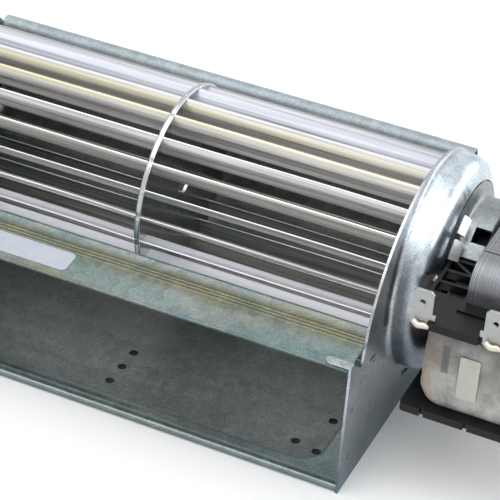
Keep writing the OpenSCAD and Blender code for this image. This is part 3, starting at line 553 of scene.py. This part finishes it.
def with_lids(faces, *rings):
    """The side's faces and a flat lid on each ring of points, wound against the side's own edge there."""
    sides = np.asarray(faces)
    following = np.roll(sides, -1, axis=1)
    out = [tuple(f) for f in sides.tolist()]
    for ring in rings:
        same_way = ((sides == ring[0]) & (following == ring[1])).any()
        out.append(tuple(ring[::-1] if same_way else ring))
    return out


def turned(loop, count):
    """A closed outline of (x, radius) pairs turned once round X: Y and Z are the radius by cosine and sine."""
    a = np.linspace(0, 2 * math.pi, count, endpoint=False)
    p = np.empty((count, len(loop), 3))
    p[..., 0] = loop[None, :, 0]
    p[..., 1] = np.cos(a)[:, None] * loop[None, :, 1]
    p[..., 2] = np.sin(a)[:, None] * loop[None, :, 1]
    pts = p.reshape(-1, 3)
    return pts, outward(pts, grid_faces(count, len(loop), close_rows=True, close_cols=True))


def refined(name, node, material, body, bevel, slot, reshape=None):
    """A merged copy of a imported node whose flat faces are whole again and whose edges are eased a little."""
    weld, flat, sharp = 0.002, 0.6, 35     # millimetres between points; degrees between faces
    bm = bmesh.new()
    bm.from_mesh(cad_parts[node].data)
    bmesh.ops.remove_doubles(bm, verts=bm.verts, dist=weld * MM)
    bmesh.ops.dissolve_limit(bm, angle_limit=math.radians(flat), verts=bm.verts, edges=bm.edges)
    mesh = bpy.data.meshes.new(name)
    bm.to_mesh(mesh)
    bm.free()
    if reshape:
        places = np.empty(len(mesh.vertices) * 3)
        mesh.vertices.foreach_get("co", places)
        mesh.vertices.foreach_set("co", reshape(places.reshape(-1, 3)).ravel())
    obj = dress(name, mesh, material, body, node, slot=slot, smooth=30.0)
    m = obj.modifiers.new("eased edges", "BEVEL")
    m.width = bevel * MM
    m.segments = 2
    m.limit_method = "ANGLE"
    m.angle_limit = math.radians(sharp)
    m.harden_normals = True
    return obj


def faded_step(places, reach=0.010, corner=0.008):
    """The floor panel's back step made a slope: its lower edge moves forward, least at the corners.

    The share of the reach is three squares less two cubes of the distance from the panel's side over the
    corner's length. Lengths are in metres.
    """
    step_from, step_to, step_half, near = 0.0086, 0.0172, 0.0740, 0.00005
    x, y, z = np.abs(places[:, 0]), places[:, 1], places[:, 2]
    low = (np.abs(z - SHEET * MM) < near) & (y > step_from) & (y < step_to) & (x < step_half)
    if not low.any():
        raise RuntimeError("the floor's panel wasn't found")
    t = np.clip((x[low].max() - x) / corner, 0, 1)
    moved = places.copy()
    moved[:, 1] -= np.where(low, reach * t * t * (3 - 2 * t), 0.0)
    return moved


def box_cut(obj, x, reach, width, angle):
    """Cuts a straight window through a piece: from x[0] to x[1], at the radii of reach, turned to an angle.

    A corner is its radius along the angle's direction and half the width across it.
    """
    c, s = math.cos(math.radians(angle)), math.sin(math.radians(angle))
    corners = [(px, r * c - w * s, r * s + w * c) for px in x for r in reach for w in (-width / 2, width / 2)]
    faces = outward(corners, [(0, 1, 3, 2), (4, 6, 7, 5), (0, 4, 5, 1), (2, 3, 7, 6), (0, 2, 6, 4), (1, 5, 7, 3)])
    mesh = bpy.data.meshes.new("cutter")
    mesh.from_pydata((at_axle(corners) * MM).tolist(), [], faces.tolist())
    cutter = put("cutter", mesh)
    m = obj.modifiers.new("window", "BOOLEAN")
    m.operation, m.solver, m.object = "DIFFERENCE", "EXACT", cutter
    for other in obj.modifiers:
        other.show_viewport = other == m
    data = bpy.data.meshes.new_from_object(obj.evaluated_get(bpy.context.evaluated_depsgraph_get()))
    obj.modifiers.remove(m)
    obj.data = data
    for other in obj.modifiers:
        other.show_viewport = True
    bpy.data.objects.remove(cutter)
    data.set_sharp_from_angle(angle=math.radians(30))
    return obj


def arc_plate(inner, outer, a0, a1, steps=10):
    """A small plate that follows the cup: the sheet between two (x, radius) places swept from angle a0 to a1."""
    p, q = np.asarray(inner, float), np.asarray(outer, float)
    n = unit(np.array([p[1] - q[1], q[0] - p[0]])) * SHEET
    n = n if n[0] > 0 else -n
    x, r = np.array([p, q, q + n, p + n]).T
    a = np.radians(np.linspace(a0, a1, steps))[:, None]
    pts = np.stack([np.broadcast_to(x, (steps, 4)), r * np.cos(a), r * np.sin(a)], -1).reshape(-1, 3)
    faces = outward(pts, grid_faces(steps, 4, close_cols=True))
    return at_axle(pts), with_lids(faces, range(4), range(len(pts) - 4, len(pts)))


def blade_section():
    """Outline of one blade in its own frame, its X pointing outwards: a thin arc with rounded edges.

    The middle line is a circle of radius bend that leaves the heel outwards and curves to one side, as far as
    the tip's radius. Each side lies half a thickness off it, and a half circle closes each end.
    """
    heel, tip, bend, half = 25.5, 31.6, 7.0, 0.25
    nose_room, start, points = 0.2, 0.03, 9
    t = np.linspace(0.0, 1.35, 400)
    reach = np.hypot(heel + bend * np.sin(t), bend * (1 - np.cos(t)))
    end = t[np.searchsorted(reach, tip - nose_room)]
    t = np.linspace(start, end, points)
    mid = np.stack([heel + bend * np.sin(t), bend * (np.cos(t) - 1)], 1)
    way = np.stack([np.sin(t), np.cos(t)], 1)
    k = np.linspace(0, math.pi, 5)[1:-1, None]
    tail = np.array([math.cos(end), -math.sin(end)])
    nose = mid[-1] + way[-1] * half * np.cos(k) + tail * half * np.sin(k)
    heel_end = mid[0] - way[0] * half * np.cos(k) + np.array([-1.0, 0.0]) * half * np.sin(k)
    return np.concatenate([mid + way * half, nose, (mid - way * half)[::-1], heel_end])


def blades_surface(phase=114.46, stations=33):
    """All blades: the section turned to each place and carried along the axis, each half a little out of true.

    From the ring to the end, a half leans by half a sine wave and bows by a whole one, each by a random angle.
    The looks come with the points, as BLADE_LOOKS names them, and are given to blades by their numbers. Besides a
    random tone, they are painted glints, a painted sky reflection and painted pale highlights.
    """
    # blades by number that get painted light: glints on two, a sky reflection on four, a pale highlight on three
    glint_tip, glint_middle, sky_blades, bright = 0, 22, (18, 19, 20, 21), (5, 6, 7)
    rng = np.random.default_rng(7)
    loop = blade_section()
    m = len(loop)
    xs = np.sort(np.concatenate([np.linspace(-WHEEL_HALF, WHEEL_HALF, stations), (-0.8, 0.8)]))
    side = (xs > 0).astype(int)
    along = np.abs(xs) / WHEEL_HALF
    pts, faces = [], []
    for i in range(BLADES):
        lean = rng.normal(0, 0.35, 2)
        bow = rng.normal(0, 0.10, 2)
        turn = np.radians(phase + i * 360 / BLADES + lean[side] * np.sin(along * math.pi) * 1.2
                          + bow[side] * np.sin(along * math.pi * 2))
        c, s = np.cos(turn)[:, None], np.sin(turn)[:, None]
        p = np.stack([np.broadcast_to(xs[:, None], (len(xs), m)),
                      loop[None, :, 0] * c - loop[None, :, 1] * s,
                      loop[None, :, 0] * s + loop[None, :, 1] * c], -1).reshape(-1, 3)
        sides = outward(p, grid_faces(len(xs), m, close_cols=True))
        faces.extend(tuple(v + i * len(p) for v in f)
                     for f in with_lids(sides, range(m), range(len(p) - m, len(p))))
        pts.append(p)
    pts = np.concatenate(pts)
    r = np.hypot(pts[:, 1], pts[:, 2])
    which = np.repeat(np.arange(BLADES), len(xs) * m)
    # painted warm glint: at one blade's tip and along another's middle, fading towards one end of the wheel
    faded = 0.85 - 0.35 * pts[:, 0] / WHEEL_HALF
    painted_warm_glint = faded * ((which == glint_tip) * np.clip((r - 30.5) / 0.7, 0, 1)
                    + (which == glint_middle) * np.exp(-((r - 29.9) / 0.8) ** 2))
    # painted sky reflection, also on the outer edge of the middle glint's blade, and a painted pale highlight as
    # minus one
    painted_sky_sheen = np.isin(which, sky_blades) + (which == glint_middle) * np.clip((r - 30.6) / 0.6, 0, 1)
    painted_sky_sheen = painted_sky_sheen - np.isin(which, bright) * 1.0
    return at_axle(pts), faces, np.stack([painted_warm_glint, rng.uniform(0, 1, BLADES)[which], painted_sky_sheen], 1)


def ring_surface(half_web, half_rim, hole, at_x=0.0, phase=108.5, steps=368):
    """A disc turned round the axis with a rolled bead for its rim, pressed in a little at every blade's tip.

    The bead is an arc about the rim's middle. A dent is its depth by a bell curve of the angle from the tip.
    """
    bead, neck, dent_depth, dent_width = 0.75, RIM_R - 2.2, 0.28, 1.3
    a = np.linspace(-0.5, math.pi + 0.5, 15)
    rim = np.stack([-half_rim * np.cos(a), RIM_R - bead + bead * np.sin(a)], 1)
    foot, top = [(-half_web, hole), (-half_web, neck)], [(half_web, neck), (half_web, hole)]
    pts, faces = turned(np.concatenate([foot, rim, top]), steps)
    a = np.degrees(np.arctan2(pts[:, 2], pts[:, 1]))
    half_pitch = 180 / BLADES
    off = (a - phase + half_pitch) % (2 * half_pitch) - half_pitch
    r = np.hypot(pts[:, 1], pts[:, 2])
    dent = dent_depth * np.exp(-(off / dent_width) ** 2) * (r > RIM_R - 1.0)
    pts[:, 1:] *= (1 - dent / np.maximum(r, 1e-6))[:, None]
    pts[:, 0] += at_x
    return at_axle(pts), faces


def round_loop(x0, x1, y0, y1, r, count):
    """Equally spaced points on a rectangle with round corners, from the middle of its front side."""
    path = []
    for cx, cy, a0 in ((x1 - r, y0 + r, -90), (x1 - r, y1 - r, 0), (x0 + r, y1 - r, 90), (x0 + r, y0 + r, 180)):
        a = np.radians(a0 + np.linspace(0, 90, 13))
        path.append(np.stack([cx + r * np.cos(a), cy + r * np.sin(a)], 1))
    path = np.concatenate([[((x0 + x1) / 2, y0)], *path, [((x0 + x1) / 2, y0)]])
    d = np.concatenate([[0], np.cumsum(np.linalg.norm(np.diff(path, axis=0), axis=1))])
    t = np.linspace(0, d[-1], count, endpoint=False)
    return np.stack([np.interp(t, d, path[:, 0]), np.interp(t, d, path[:, 1])], 1), t / d[-1]


def coil_surface(count=360):
    """The taped coil: a round-cornered ring about the leg whose wall bulges, with soft folds and tape edges.

    The wall goes up by a cosine. Its bulge is one less the ninth power of that cosine, and scales the outline
    about its middle. The folds are sine waves of the way round and of the height, and a lap is a low step that
    climbs as it goes round.
    """
    outer, u = round_loop(98.4, 135.6, -49.2, -18.9, 6.8, count)
    inner, _ = round_loop(105.7, 128.3, -39.9, -26.9, 0.8, count)
    z0, z1 = -15.0, 12.3
    pull, lap_depth, lap_pitch, lap_climb, inset = 0.085, 0.12, 9.2, 14, 0.25
    wall = np.cos(np.linspace(0, math.pi, 41))[:, None]
    z = (z0 + z1) / 2 - (z1 - z0) / 2 * wall
    ease = 1 - np.abs(wall) ** 9
    turn = u * 2 * math.pi
    fold = 0.14 * np.sin(turn * 31 + 0.35 * z) * np.sin(turn * 5 + 0.9)
    fold = fold + 0.10 * np.sin(z * 0.9 + 5 * np.sin(turn * 3)) + 0.10 * np.sin(turn * 9 + z * 0.21)
    lap = lap_depth * (((z + lap_climb * u) % lap_pitch) < lap_pitch / 2)
    mid = outer.mean(0)
    way = (outer - mid) / np.linalg.norm(outer - mid, axis=1)[:, None]
    ring = mid + (outer - mid) * (1.0 - pull * (1 - ease))[..., None]
    ring = ring + way * ((fold + lap - inset) * ease)[..., None]
    side = np.concatenate([ring, np.broadcast_to(z[..., None], (len(z), count, 1))], -1).reshape(-1, 3)
    pts = np.concatenate([side, *(np.column_stack([inner, np.full(count, h)]) for h in (z1, z0))])
    return at_axle(pts), outward(pts, grid_faces(len(z) + 2, count, close_rows=True, close_cols=True))


def tongue_surface(stations=83):
    """The tongue's sheet: flat front with fine beads, a ridge, the leg beside the wheel and the return flange.

    Its profile is straight lines with rounded corners, and each bead is a bell curve on the outer side. Along
    X the sheet waves by products and sums of sines.
    """
    lip, turn, leg_r = -4.3, math.radians(13), 35.8
    bead_places, bead_height, bead_width = (11.9, 13.2, 14.5), 0.07, 0.38
    front, ridge = np.array([-60.5, lip]), np.array([-41.4, lip + 2.4])
    low = leg_r * np.array([-math.cos(turn), -math.sin(turn)])
    knee = low + (-3.1, -2.15)
    path = fillet([front, ridge, low, knee, knee - (7, 0)], (1.2, 1.2, 0.8))
    run = unit(ridge - front)
    t = np.concatenate([np.linspace(0, 10.6, 12), np.linspace(10.8, 15.8, 61)[1:], [16.5, 17.2]])
    start = np.searchsorted((path - front) @ run, t[-1] + 0.2)
    path = np.concatenate([front + t[:, None] * run, path[max(start, 1):]])
    loop = sheet_loop(path, SHEET, 0.25)
    up = np.array([-run[1], run[0]])
    along, off = (loop - front) @ run, (loop - front) @ up
    rise = sum(bead_height * np.exp(-((along - b) / bead_width) ** 2) for b in bead_places)
    loop = loop + up * (rise * ((off > -0.6) & (off < 1.0) & (along < 17)))[:, None]

    def waves(p):
        x, y = p[..., 0], p[..., 1]
        d = np.zeros_like(p)
        d[..., 2] = 0.07 * np.sin(x * 0.071 + 0.4) * np.sin(y * 0.22) + 0.05 * np.sin(x * 0.19 + y * 0.11)
        return d

    pts, faces = drawn_along(loop, np.linspace(-82.05, 82.05, stations), waves)
    return at_axle(pts), faces


def tube_along(path, r, sides=12):
    """A round wire along a path of points, with flat ends: a circle square to the path at each of them."""
    d = np.gradient(path, axis=0)
    d /= np.linalg.norm(d, axis=1)[:, None]
    u = np.cross(d, np.array([0.1, 0.2, 1.0]))
    u /= np.linalg.norm(u, axis=1)[:, None]
    v = np.cross(d, u)
    a = np.linspace(0, 2 * math.pi, sides, endpoint=False)
    p = path[:, None] + r * (np.cos(a)[None, :, None] * u[:, None] + np.sin(a)[None, :, None] * v[:, None])
    pts = p.reshape(-1, 3)
    faces = outward(pts, grid_faces(len(path), sides, close_cols=True))
    return pts, with_lids(faces, range(sides), range(len(pts) - sides, len(pts)))


def curve_through(points, count=28):
    """A smooth path through a few points, of cubics whose slope at a point is half the step past it."""
    p = np.asarray(points, float)
    p = np.concatenate([[2 * p[0] - p[1]], p, [2 * p[-1] - p[-2]]])
    t = np.linspace(0, 1, count, endpoint=False)[:, None]
    out = [0.5 * (2 * b + (c - a) * t + (2 * a - 5 * b + 4 * c - d) * t ** 2 + (3 * b - a - 3 * c + d) * t ** 3)
           for a, b, c, d in zip(p[:-3], p[1:-2], p[2:-1], p[3:])]
    return np.concatenate([*out, [p[-2]]])


# ---------------------------------------------------------------- operators

def place_camera(scene, lens):
    """A camera at EYE that looks at AIM, turned by ROLL about that line."""
    cam = bpy.data.cameras.new("camera")
    cam.sensor_width = 36.0
    cam.lens = lens
    cam.clip_start, cam.clip_end = 0.01, 20
    eye, aim = (Vector(at_axle(p).tolist()) * MM for p in (EYE, AIM))
    roll = math.radians(ROLL)
    back = (eye - aim).normalized()
    side = Vector((0, 0, 1)).cross(back).normalized()
    rise = back.cross(side)
    right = side * math.cos(roll) + rise * math.sin(roll)
    up = rise * math.cos(roll) - side * math.sin(roll)
    obj = put("camera", cam)
    obj.matrix_world = Matrix((*zip(right, up, back, eye), (0, 0, 0, 1)))
    scene.camera = obj


def lay_floor():
    """A white floor with a painted shadow right under the part, so that the holes in its bottom look dark."""
    edge, footprint, border = 4.0, ((0.0, -0.005), (0.078, 0.015), 0.004), 0.002
    mesh = bpy.data.meshes.new("floor")
    mesh.from_pydata([(-edge, -edge, 0), (edge, -edge, 0), (edge, edge, 0), (-edge, edge, 0)], [], [(0, 1, 2, 3)])
    floor = put("floor", mesh)
    t = Tree("floor white").set(Roughness=0.9)
    # painted shadow: dark within the part's footprint, fading out over the border
    painted_shadow_share = t.math("MULTIPLY", t.from_frame(*footprint), -1 / border)
    mesh.materials.append(t.set(Base_Color=t.ramp(painted_shadow_share, (0.0, 0.93), (1.0, 0.03))).mat)


def surround(scene):
    """A world that looks white to the camera, in glass and in metal, and lights the rest more softly."""
    scene.world = world = bpy.data.worlds.new("studio")
    world.use_nodes = True
    n, l = world.node_tree.nodes, world.node_tree.links
    n.clear()
    path = n.new("ShaderNodeLightPath")
    seen = path.outputs["Is Camera Ray"]
    for ray in ("Is Transmission Ray", "Is Glossy Ray"):
        either = n.new("ShaderNodeMath")
        either.operation = "MAXIMUM"
        l.new(seen, either.inputs[0])
        l.new(path.outputs[ray], either.inputs[1])
        seen = either.outputs[0]
    mix = n.new("ShaderNodeMixShader")
    l.new(seen, mix.inputs[0])
    for slot, colour, strength in ((1, (0.93, 0.96, 1.0, 1), 0.45), (2, (1, 1, 1, 1), 1.0)):
        light = n.new("ShaderNodeBackground")
        light.inputs["Color"].default_value = colour
        light.inputs["Strength"].default_value = strength
        l.new(light.outputs[0], mix.inputs[slot])
    l.new(mix.outputs[0], n.new("ShaderNodeOutputWorld").inputs[0])


def shine(name, data, way, place=(0, 0, 0)):
    """Puts a lamp at a place, with the way it shines opposite to the one given."""
    obj = put(name, data)
    obj.location = place
    obj.rotation_mode = "QUATERNION"
    obj.rotation_quaternion = Vector(way).to_track_quat("Z", "Y")


class BLOWER_OT_stage(bpy.types.Operator):
    """Makes the pale floor, the white surroundings, the lamps and the camera."""
    bl_idname = "blower.stage"
    bl_label = "Stage"

    def execute(self, context):
        v = context.scene.blower_view
        context.scene.view_settings.view_transform = "Standard"
        place_camera(context.scene, v.lens)
        lay_floor()
        surround(context.scene)
        sky = bpy.data.lights.new("sky", "SUN")
        sky.energy = v.sky
        sky.angle = math.radians(85)
        shine("sky", sky, (-0.12, -0.22, 1.0))
        wheel, motor = (0, 0.03, 0.05), (0.08, 0.03, 0.05)
        for name, place, aim, size, power in (
                ("key", (-0.15, -0.30, 1.15), wheel, (1.1, 0.8), v.key),
                ("side", (1.0, -0.10, 0.55), motor, (0.35, 0.8), v.fill * 3),
                ("back", (0.75, 0.95, 0.30), motor, (0.9, 0.6), v.fill * 2),
                ("shoulder", (0.97, 0.42, 0.55), motor, (0.45, 0.45), v.fill * 2)):
            lamp = bpy.data.lights.new(name, "AREA")
            lamp.shape = "RECTANGLE"
            lamp.size, lamp.size_y = size
            lamp.energy = power
            shine(name, lamp, Vector(place) - Vector(aim), place)
        return {"FINISHED"}


class BLOWER_OT_sheets(bpy.types.Operator):
    """Finishes the housing's sheets and the cups."""
    bl_idname = "blower.sheets"
    bl_label = "Housing sheets"

    def execute(self, context):
        f = context.scene.blower_finish
        # the scroll's sheet: a darker copy of the zinc as painted shade, with zones of painted light and shade
        inside = galvanised(
            "zinc sheet inside", tuple(f.zinc_in_painted_shade), f.spangle, (0.30, 0.50), 0.35, mottle=0.2,
            panel=((0.0, 0.0300), (0.0723, 0.0487), 0.008), dull=(2, 0.0640, 0.0720, 0.0008),
            zones=((2, 0.032, 0.018, shade(f.zinc_in_painted_shade, 0.42)),              # painted shade, darker down into the outlet
                   (2, 0.010, 0.004, shade(f.zinc_in_painted_shade, 1.3),                # painted light on the floor, from its front
                    (1, -0.004, 0.016, shade(f.zinc_in_painted_shade, 0.70))),           # to the shade at its back
                   (1, -0.0240, -0.0247, shade(f.zinc_in_painted_shade, 0.64)),          # painted shade on the rolled front edge
                   (2, 0.0630, 0.0650, (0.33, 0.385, 0.415))))                 # the folded rim, out of the painted shade of the rest, in a bluer tone
        green = galvanised(
            "zinc tongue", tuple(f.tongue), f.spangle, (0.24, 0.42), 0.5, (0.10, 0.10, 0.05), mottle=1.0,
            hatch=(-0.0158, -0.0112, 0.0006),
            zones=((1, -0.0190, -0.0150, (0.205, 0.21, 0.155)),                # the beaded stretch: its own olive tone, kept dark as painted shade against the beads' highlights
                   (1, -0.0112, -0.0080, (0.42, 0.49, 0.505)),                 # painted light: the ridge and the leg behind it lighter and bluer
                   (1, -0.0254, -0.0262, (0.145, 0.17, 0.17))))                # the front edge
        sides = (1, -1)
        # painted shade at the foot of each dome, turned back to painted light towards its top
        foot = [(0, way * 0.0840, way * 0.0850, shade(f.dome_painted_light, 0.24), (2, 0.058, 0.074, shade(f.dome_painted_light, 0.9)))
                for way in sides]
        # painted light on each dome's crown, with a band of painted shadow from the motor just below the axle and
        # a lighter band under it
        painted_crown_light = [(0, way * 0.0866, way * 0.0900, shade(f.dome_painted_light, 0.90), (2, 0.060, 0.046, shade(f.dome_painted_light, 0.50)),
                  (2, 0.034, 0.026, shade(f.dome_painted_light, 0.80))) for way in sides]
        drawn = galvanised(
            "zinc drawn", tuple(f.plate), f.spangle * 0.8, (0.22, 0.40), 0.4, mottle=0.35,
            # painted shade: the plates and domes dark teal towards their lower edge
            zones=((2, 0.034, 0.006, (0.13, 0.18, 0.205)), *foot, *painted_crown_light))
        # painted shade: the cups are a darker copy of the zinc, darker still below their top
        cup = galvanised(
            "zinc cup", shade(f.zinc, 0.58), f.spangle * 0.8, (0.28, 0.46), 0.35,
            zones=((2, 0.0700, 0.0660, shade(f.zinc, 0.45)),))
        plain = galvanised("zinc bracket", tuple(f.zinc), f.spangle)
        pts, faces = tongue_surface()
        piece("tongue_sheet", pts, faces, green, "frame", "tongue", slot="galvanised", smooth=32)
        refined("scroll_sheet", "scroll", inside, "frame", 0.18, slot="galvanised", reshape=faded_step)
        refined("plate_motor", "side_plate_motor", drawn, "frame", 0.14, slot="galvanised")
        refined("plate_far", "side_plate_far", drawn, "frame", 0.14, slot="galvanised")
        cup_obj = refined("cup_motor", "motor_cup", cup, "frame", 0.12, slot="galvanised")
        box_cut(cup_obj, (98.8, 103.8), (19.5, 26.0), 5.4, 119)
        refined("cup_far", "far_cup", cup, "frame", 0.12, slot="galvanised")
        silver = turned_steel("bright clip", (0.74, 0.76, 0.77), 0.42)
        for name, a0, a1, inner in (("clip_1", 113, 126, (96.9, 25.3)), ("clip_2", 130, 143, (97.4, 24.95))):
            pts, faces = arc_plate(inner, (95.0, 27.0), a0, a1)
            piece(name, pts, faces, silver, "frame", "cup_clips", slot="galvanised")
        refined("bracket", "rear_bracket", plain, "frame", 0.2, slot="galvanised")
        finish_nodes(plain, "far_retainer")
        return {"FINISHED"}


class BLOWER_OT_wheel(bpy.types.Operator):
    """Finishes the bladed wheel."""
    bl_idname = "blower.wheel"
    bl_label = "Wheel"

    def execute(self, context):
        f = context.scene.blower_finish
        alu = blade_metal("blade aluminium", tuple(f.blade))
        pts, faces, tones = blades_surface()
        obj = piece("blades", pts, faces, alu, "wheel", "wheel_blades", slot="wheel_aluminium", smooth=50)
        for key, values in zip(BLADE_LOOKS, tones.T):
            obj.data.attributes.new(key, "FLOAT", "POINT").data.foreach_set("value", values)
        bright = turned_steel("ring metal", (0.54, 0.55, 0.57), 0.20, 0.02)
        pts, faces = ring_surface(0.5, 0.95, 4.0)
        piece("ring_middle", pts, faces, bright, "wheel", "middle_ring", slot="wheel_aluminium", smooth=35)
        for name, way in (("disc_motor", 1), ("disc_far", -1)):
            pts, faces = ring_surface(0.5, 0.5, 6.0, at_x=way * DISC_X)
            piece(name, pts, faces, bright, "wheel", "wheel_" + name, slot="wheel_aluminium", smooth=35)
        steel = turned_steel("bright steel")
        finish_nodes(alu, "wheel_hub")
        finish_nodes(steel, "motor_shaft", "far_stub_shaft", "hub_set_screw", "core_spacers", "core_screws",
                     "core_nuts", "cup_rivets", "rear_retainer")
        finish_nodes(sintered("bush bronze"), "front_bush", "rear_bush", "far_bush")
        finish_nodes(soft_rubber("black rubber"), "far_rubber_ring")
        return {"FINISHED"}


class BLOWER_OT_motor(bpy.types.Operator):
    """Finishes the motor's core, rotor, bobbin, coil and tabs."""
    bl_idname = "blower.motor"
    bl_label = "Motor"

    def execute(self, context):
        f = context.scene.blower_finish
        core = laminated("core sheets")
        refined("core", "stator_core", core, "frame", 0.12, slot="core_steel")
        refined("core_leg", "stator_leg", core, "frame", 0.12, slot="core_steel")
        finish_nodes(core, "rotor_core")
        finish_nodes(turned_steel("cast end ring", (0.6, 0.6, 0.62), 0.4), "rotor_end_rings")
        finish_nodes(turned_steel("copper", (0.62, 0.34, 0.18), 0.3), "shading_rings")
        tinned = turned_steel("tinned tab", (0.40, 0.41, 0.405), 0.34)
        refined("tabs", "tab_terminals", tinned, "frame", 0.12, slot="terminal_brass")
        black = moulded("black bobbin", shade(f.plastic, 0.6), 0.24, 0.03)
        refined("bobbin_moulding", "bobbin", black, "frame", 0.22, slot="black_plastic")
        finish_nodes(moulded("pale washer", (0.55, 0.52, 0.42)), "thrust_washers")
        pts, faces = coil_surface()
        wound = tape("coil tape", tuple(f.tape))
        piece("coil_tape", pts, faces, wound, "frame", "coil", slot="taped_coil", smooth=60)
        pale = turned_steel("crimped end", (0.66, 0.62, 0.52), 0.45, 0.4)
        bend = np.array([(-1.9, -52.0, 14.2), (-0.4, -52.45, 13.5), (1.3, -52.35, 13.7), (2.2, -51.6, 13.2)])
        for name, x in (("crimp_1", 98.3), ("crimp_2", 119.7)):
            pts, faces = tube_along(at_axle(curve_through(bend + (x, 0, 0))), 0.95)
            piece(name, pts, faces, pale, "frame", "wire_crimps", slot="copper")
        finish_nodes(plain_paper("blank sticker", (0.46, 0.49, 0.54)), "tongue_label")
        finish_nodes(plain_paper("cream sticker", (0.48, 0.50, 0.43)), "coil_label")
        return {"FINISHED"}


class BLOWER_PT_panel(bpy.types.Panel):
    """The blower's panel in the sidebar."""
    bl_label = "Blower"
    bl_idname = "BLOWER_PT_panel"
    bl_space_type = "VIEW_3D"
    bl_region_type = "UI"
    bl_category = "Blower"

    def draw(self, context):
        for group in (context.scene.blower_finish, context.scene.blower_view):
            for key in group.__annotations__:
                self.layout.prop(group, key)
        for op in OPERATORS:
            self.layout.operator(op.bl_idname)


OPERATORS = (BLOWER_OT_stage, BLOWER_OT_sheets, BLOWER_OT_wheel, BLOWER_OT_motor)
GROUPS = (BlowerFinish, BlowerView)


def register():
    for c in (*GROUPS, *OPERATORS, BLOWER_PT_panel):
        bpy.utils.register_class(c)
    bpy.types.Scene.blower_finish = bpy.props.PointerProperty(type=BlowerFinish)
    bpy.types.Scene.blower_view = bpy.props.PointerProperty(type=BlowerView)


def unregister():
    del bpy.types.Scene.blower_view
    del bpy.types.Scene.blower_finish
    for c in reversed((*GROUPS, *OPERATORS, BLOWER_PT_panel)):
        bpy.utils.unregister_class(c)


def main():
    """Makes the stage and every piece."""
    register()
    for op in OPERATORS:
        section, call = op.bl_idname.split(".")
        getattr(getattr(bpy.ops, section), call)()


if __name__ == "__main__":
    main()
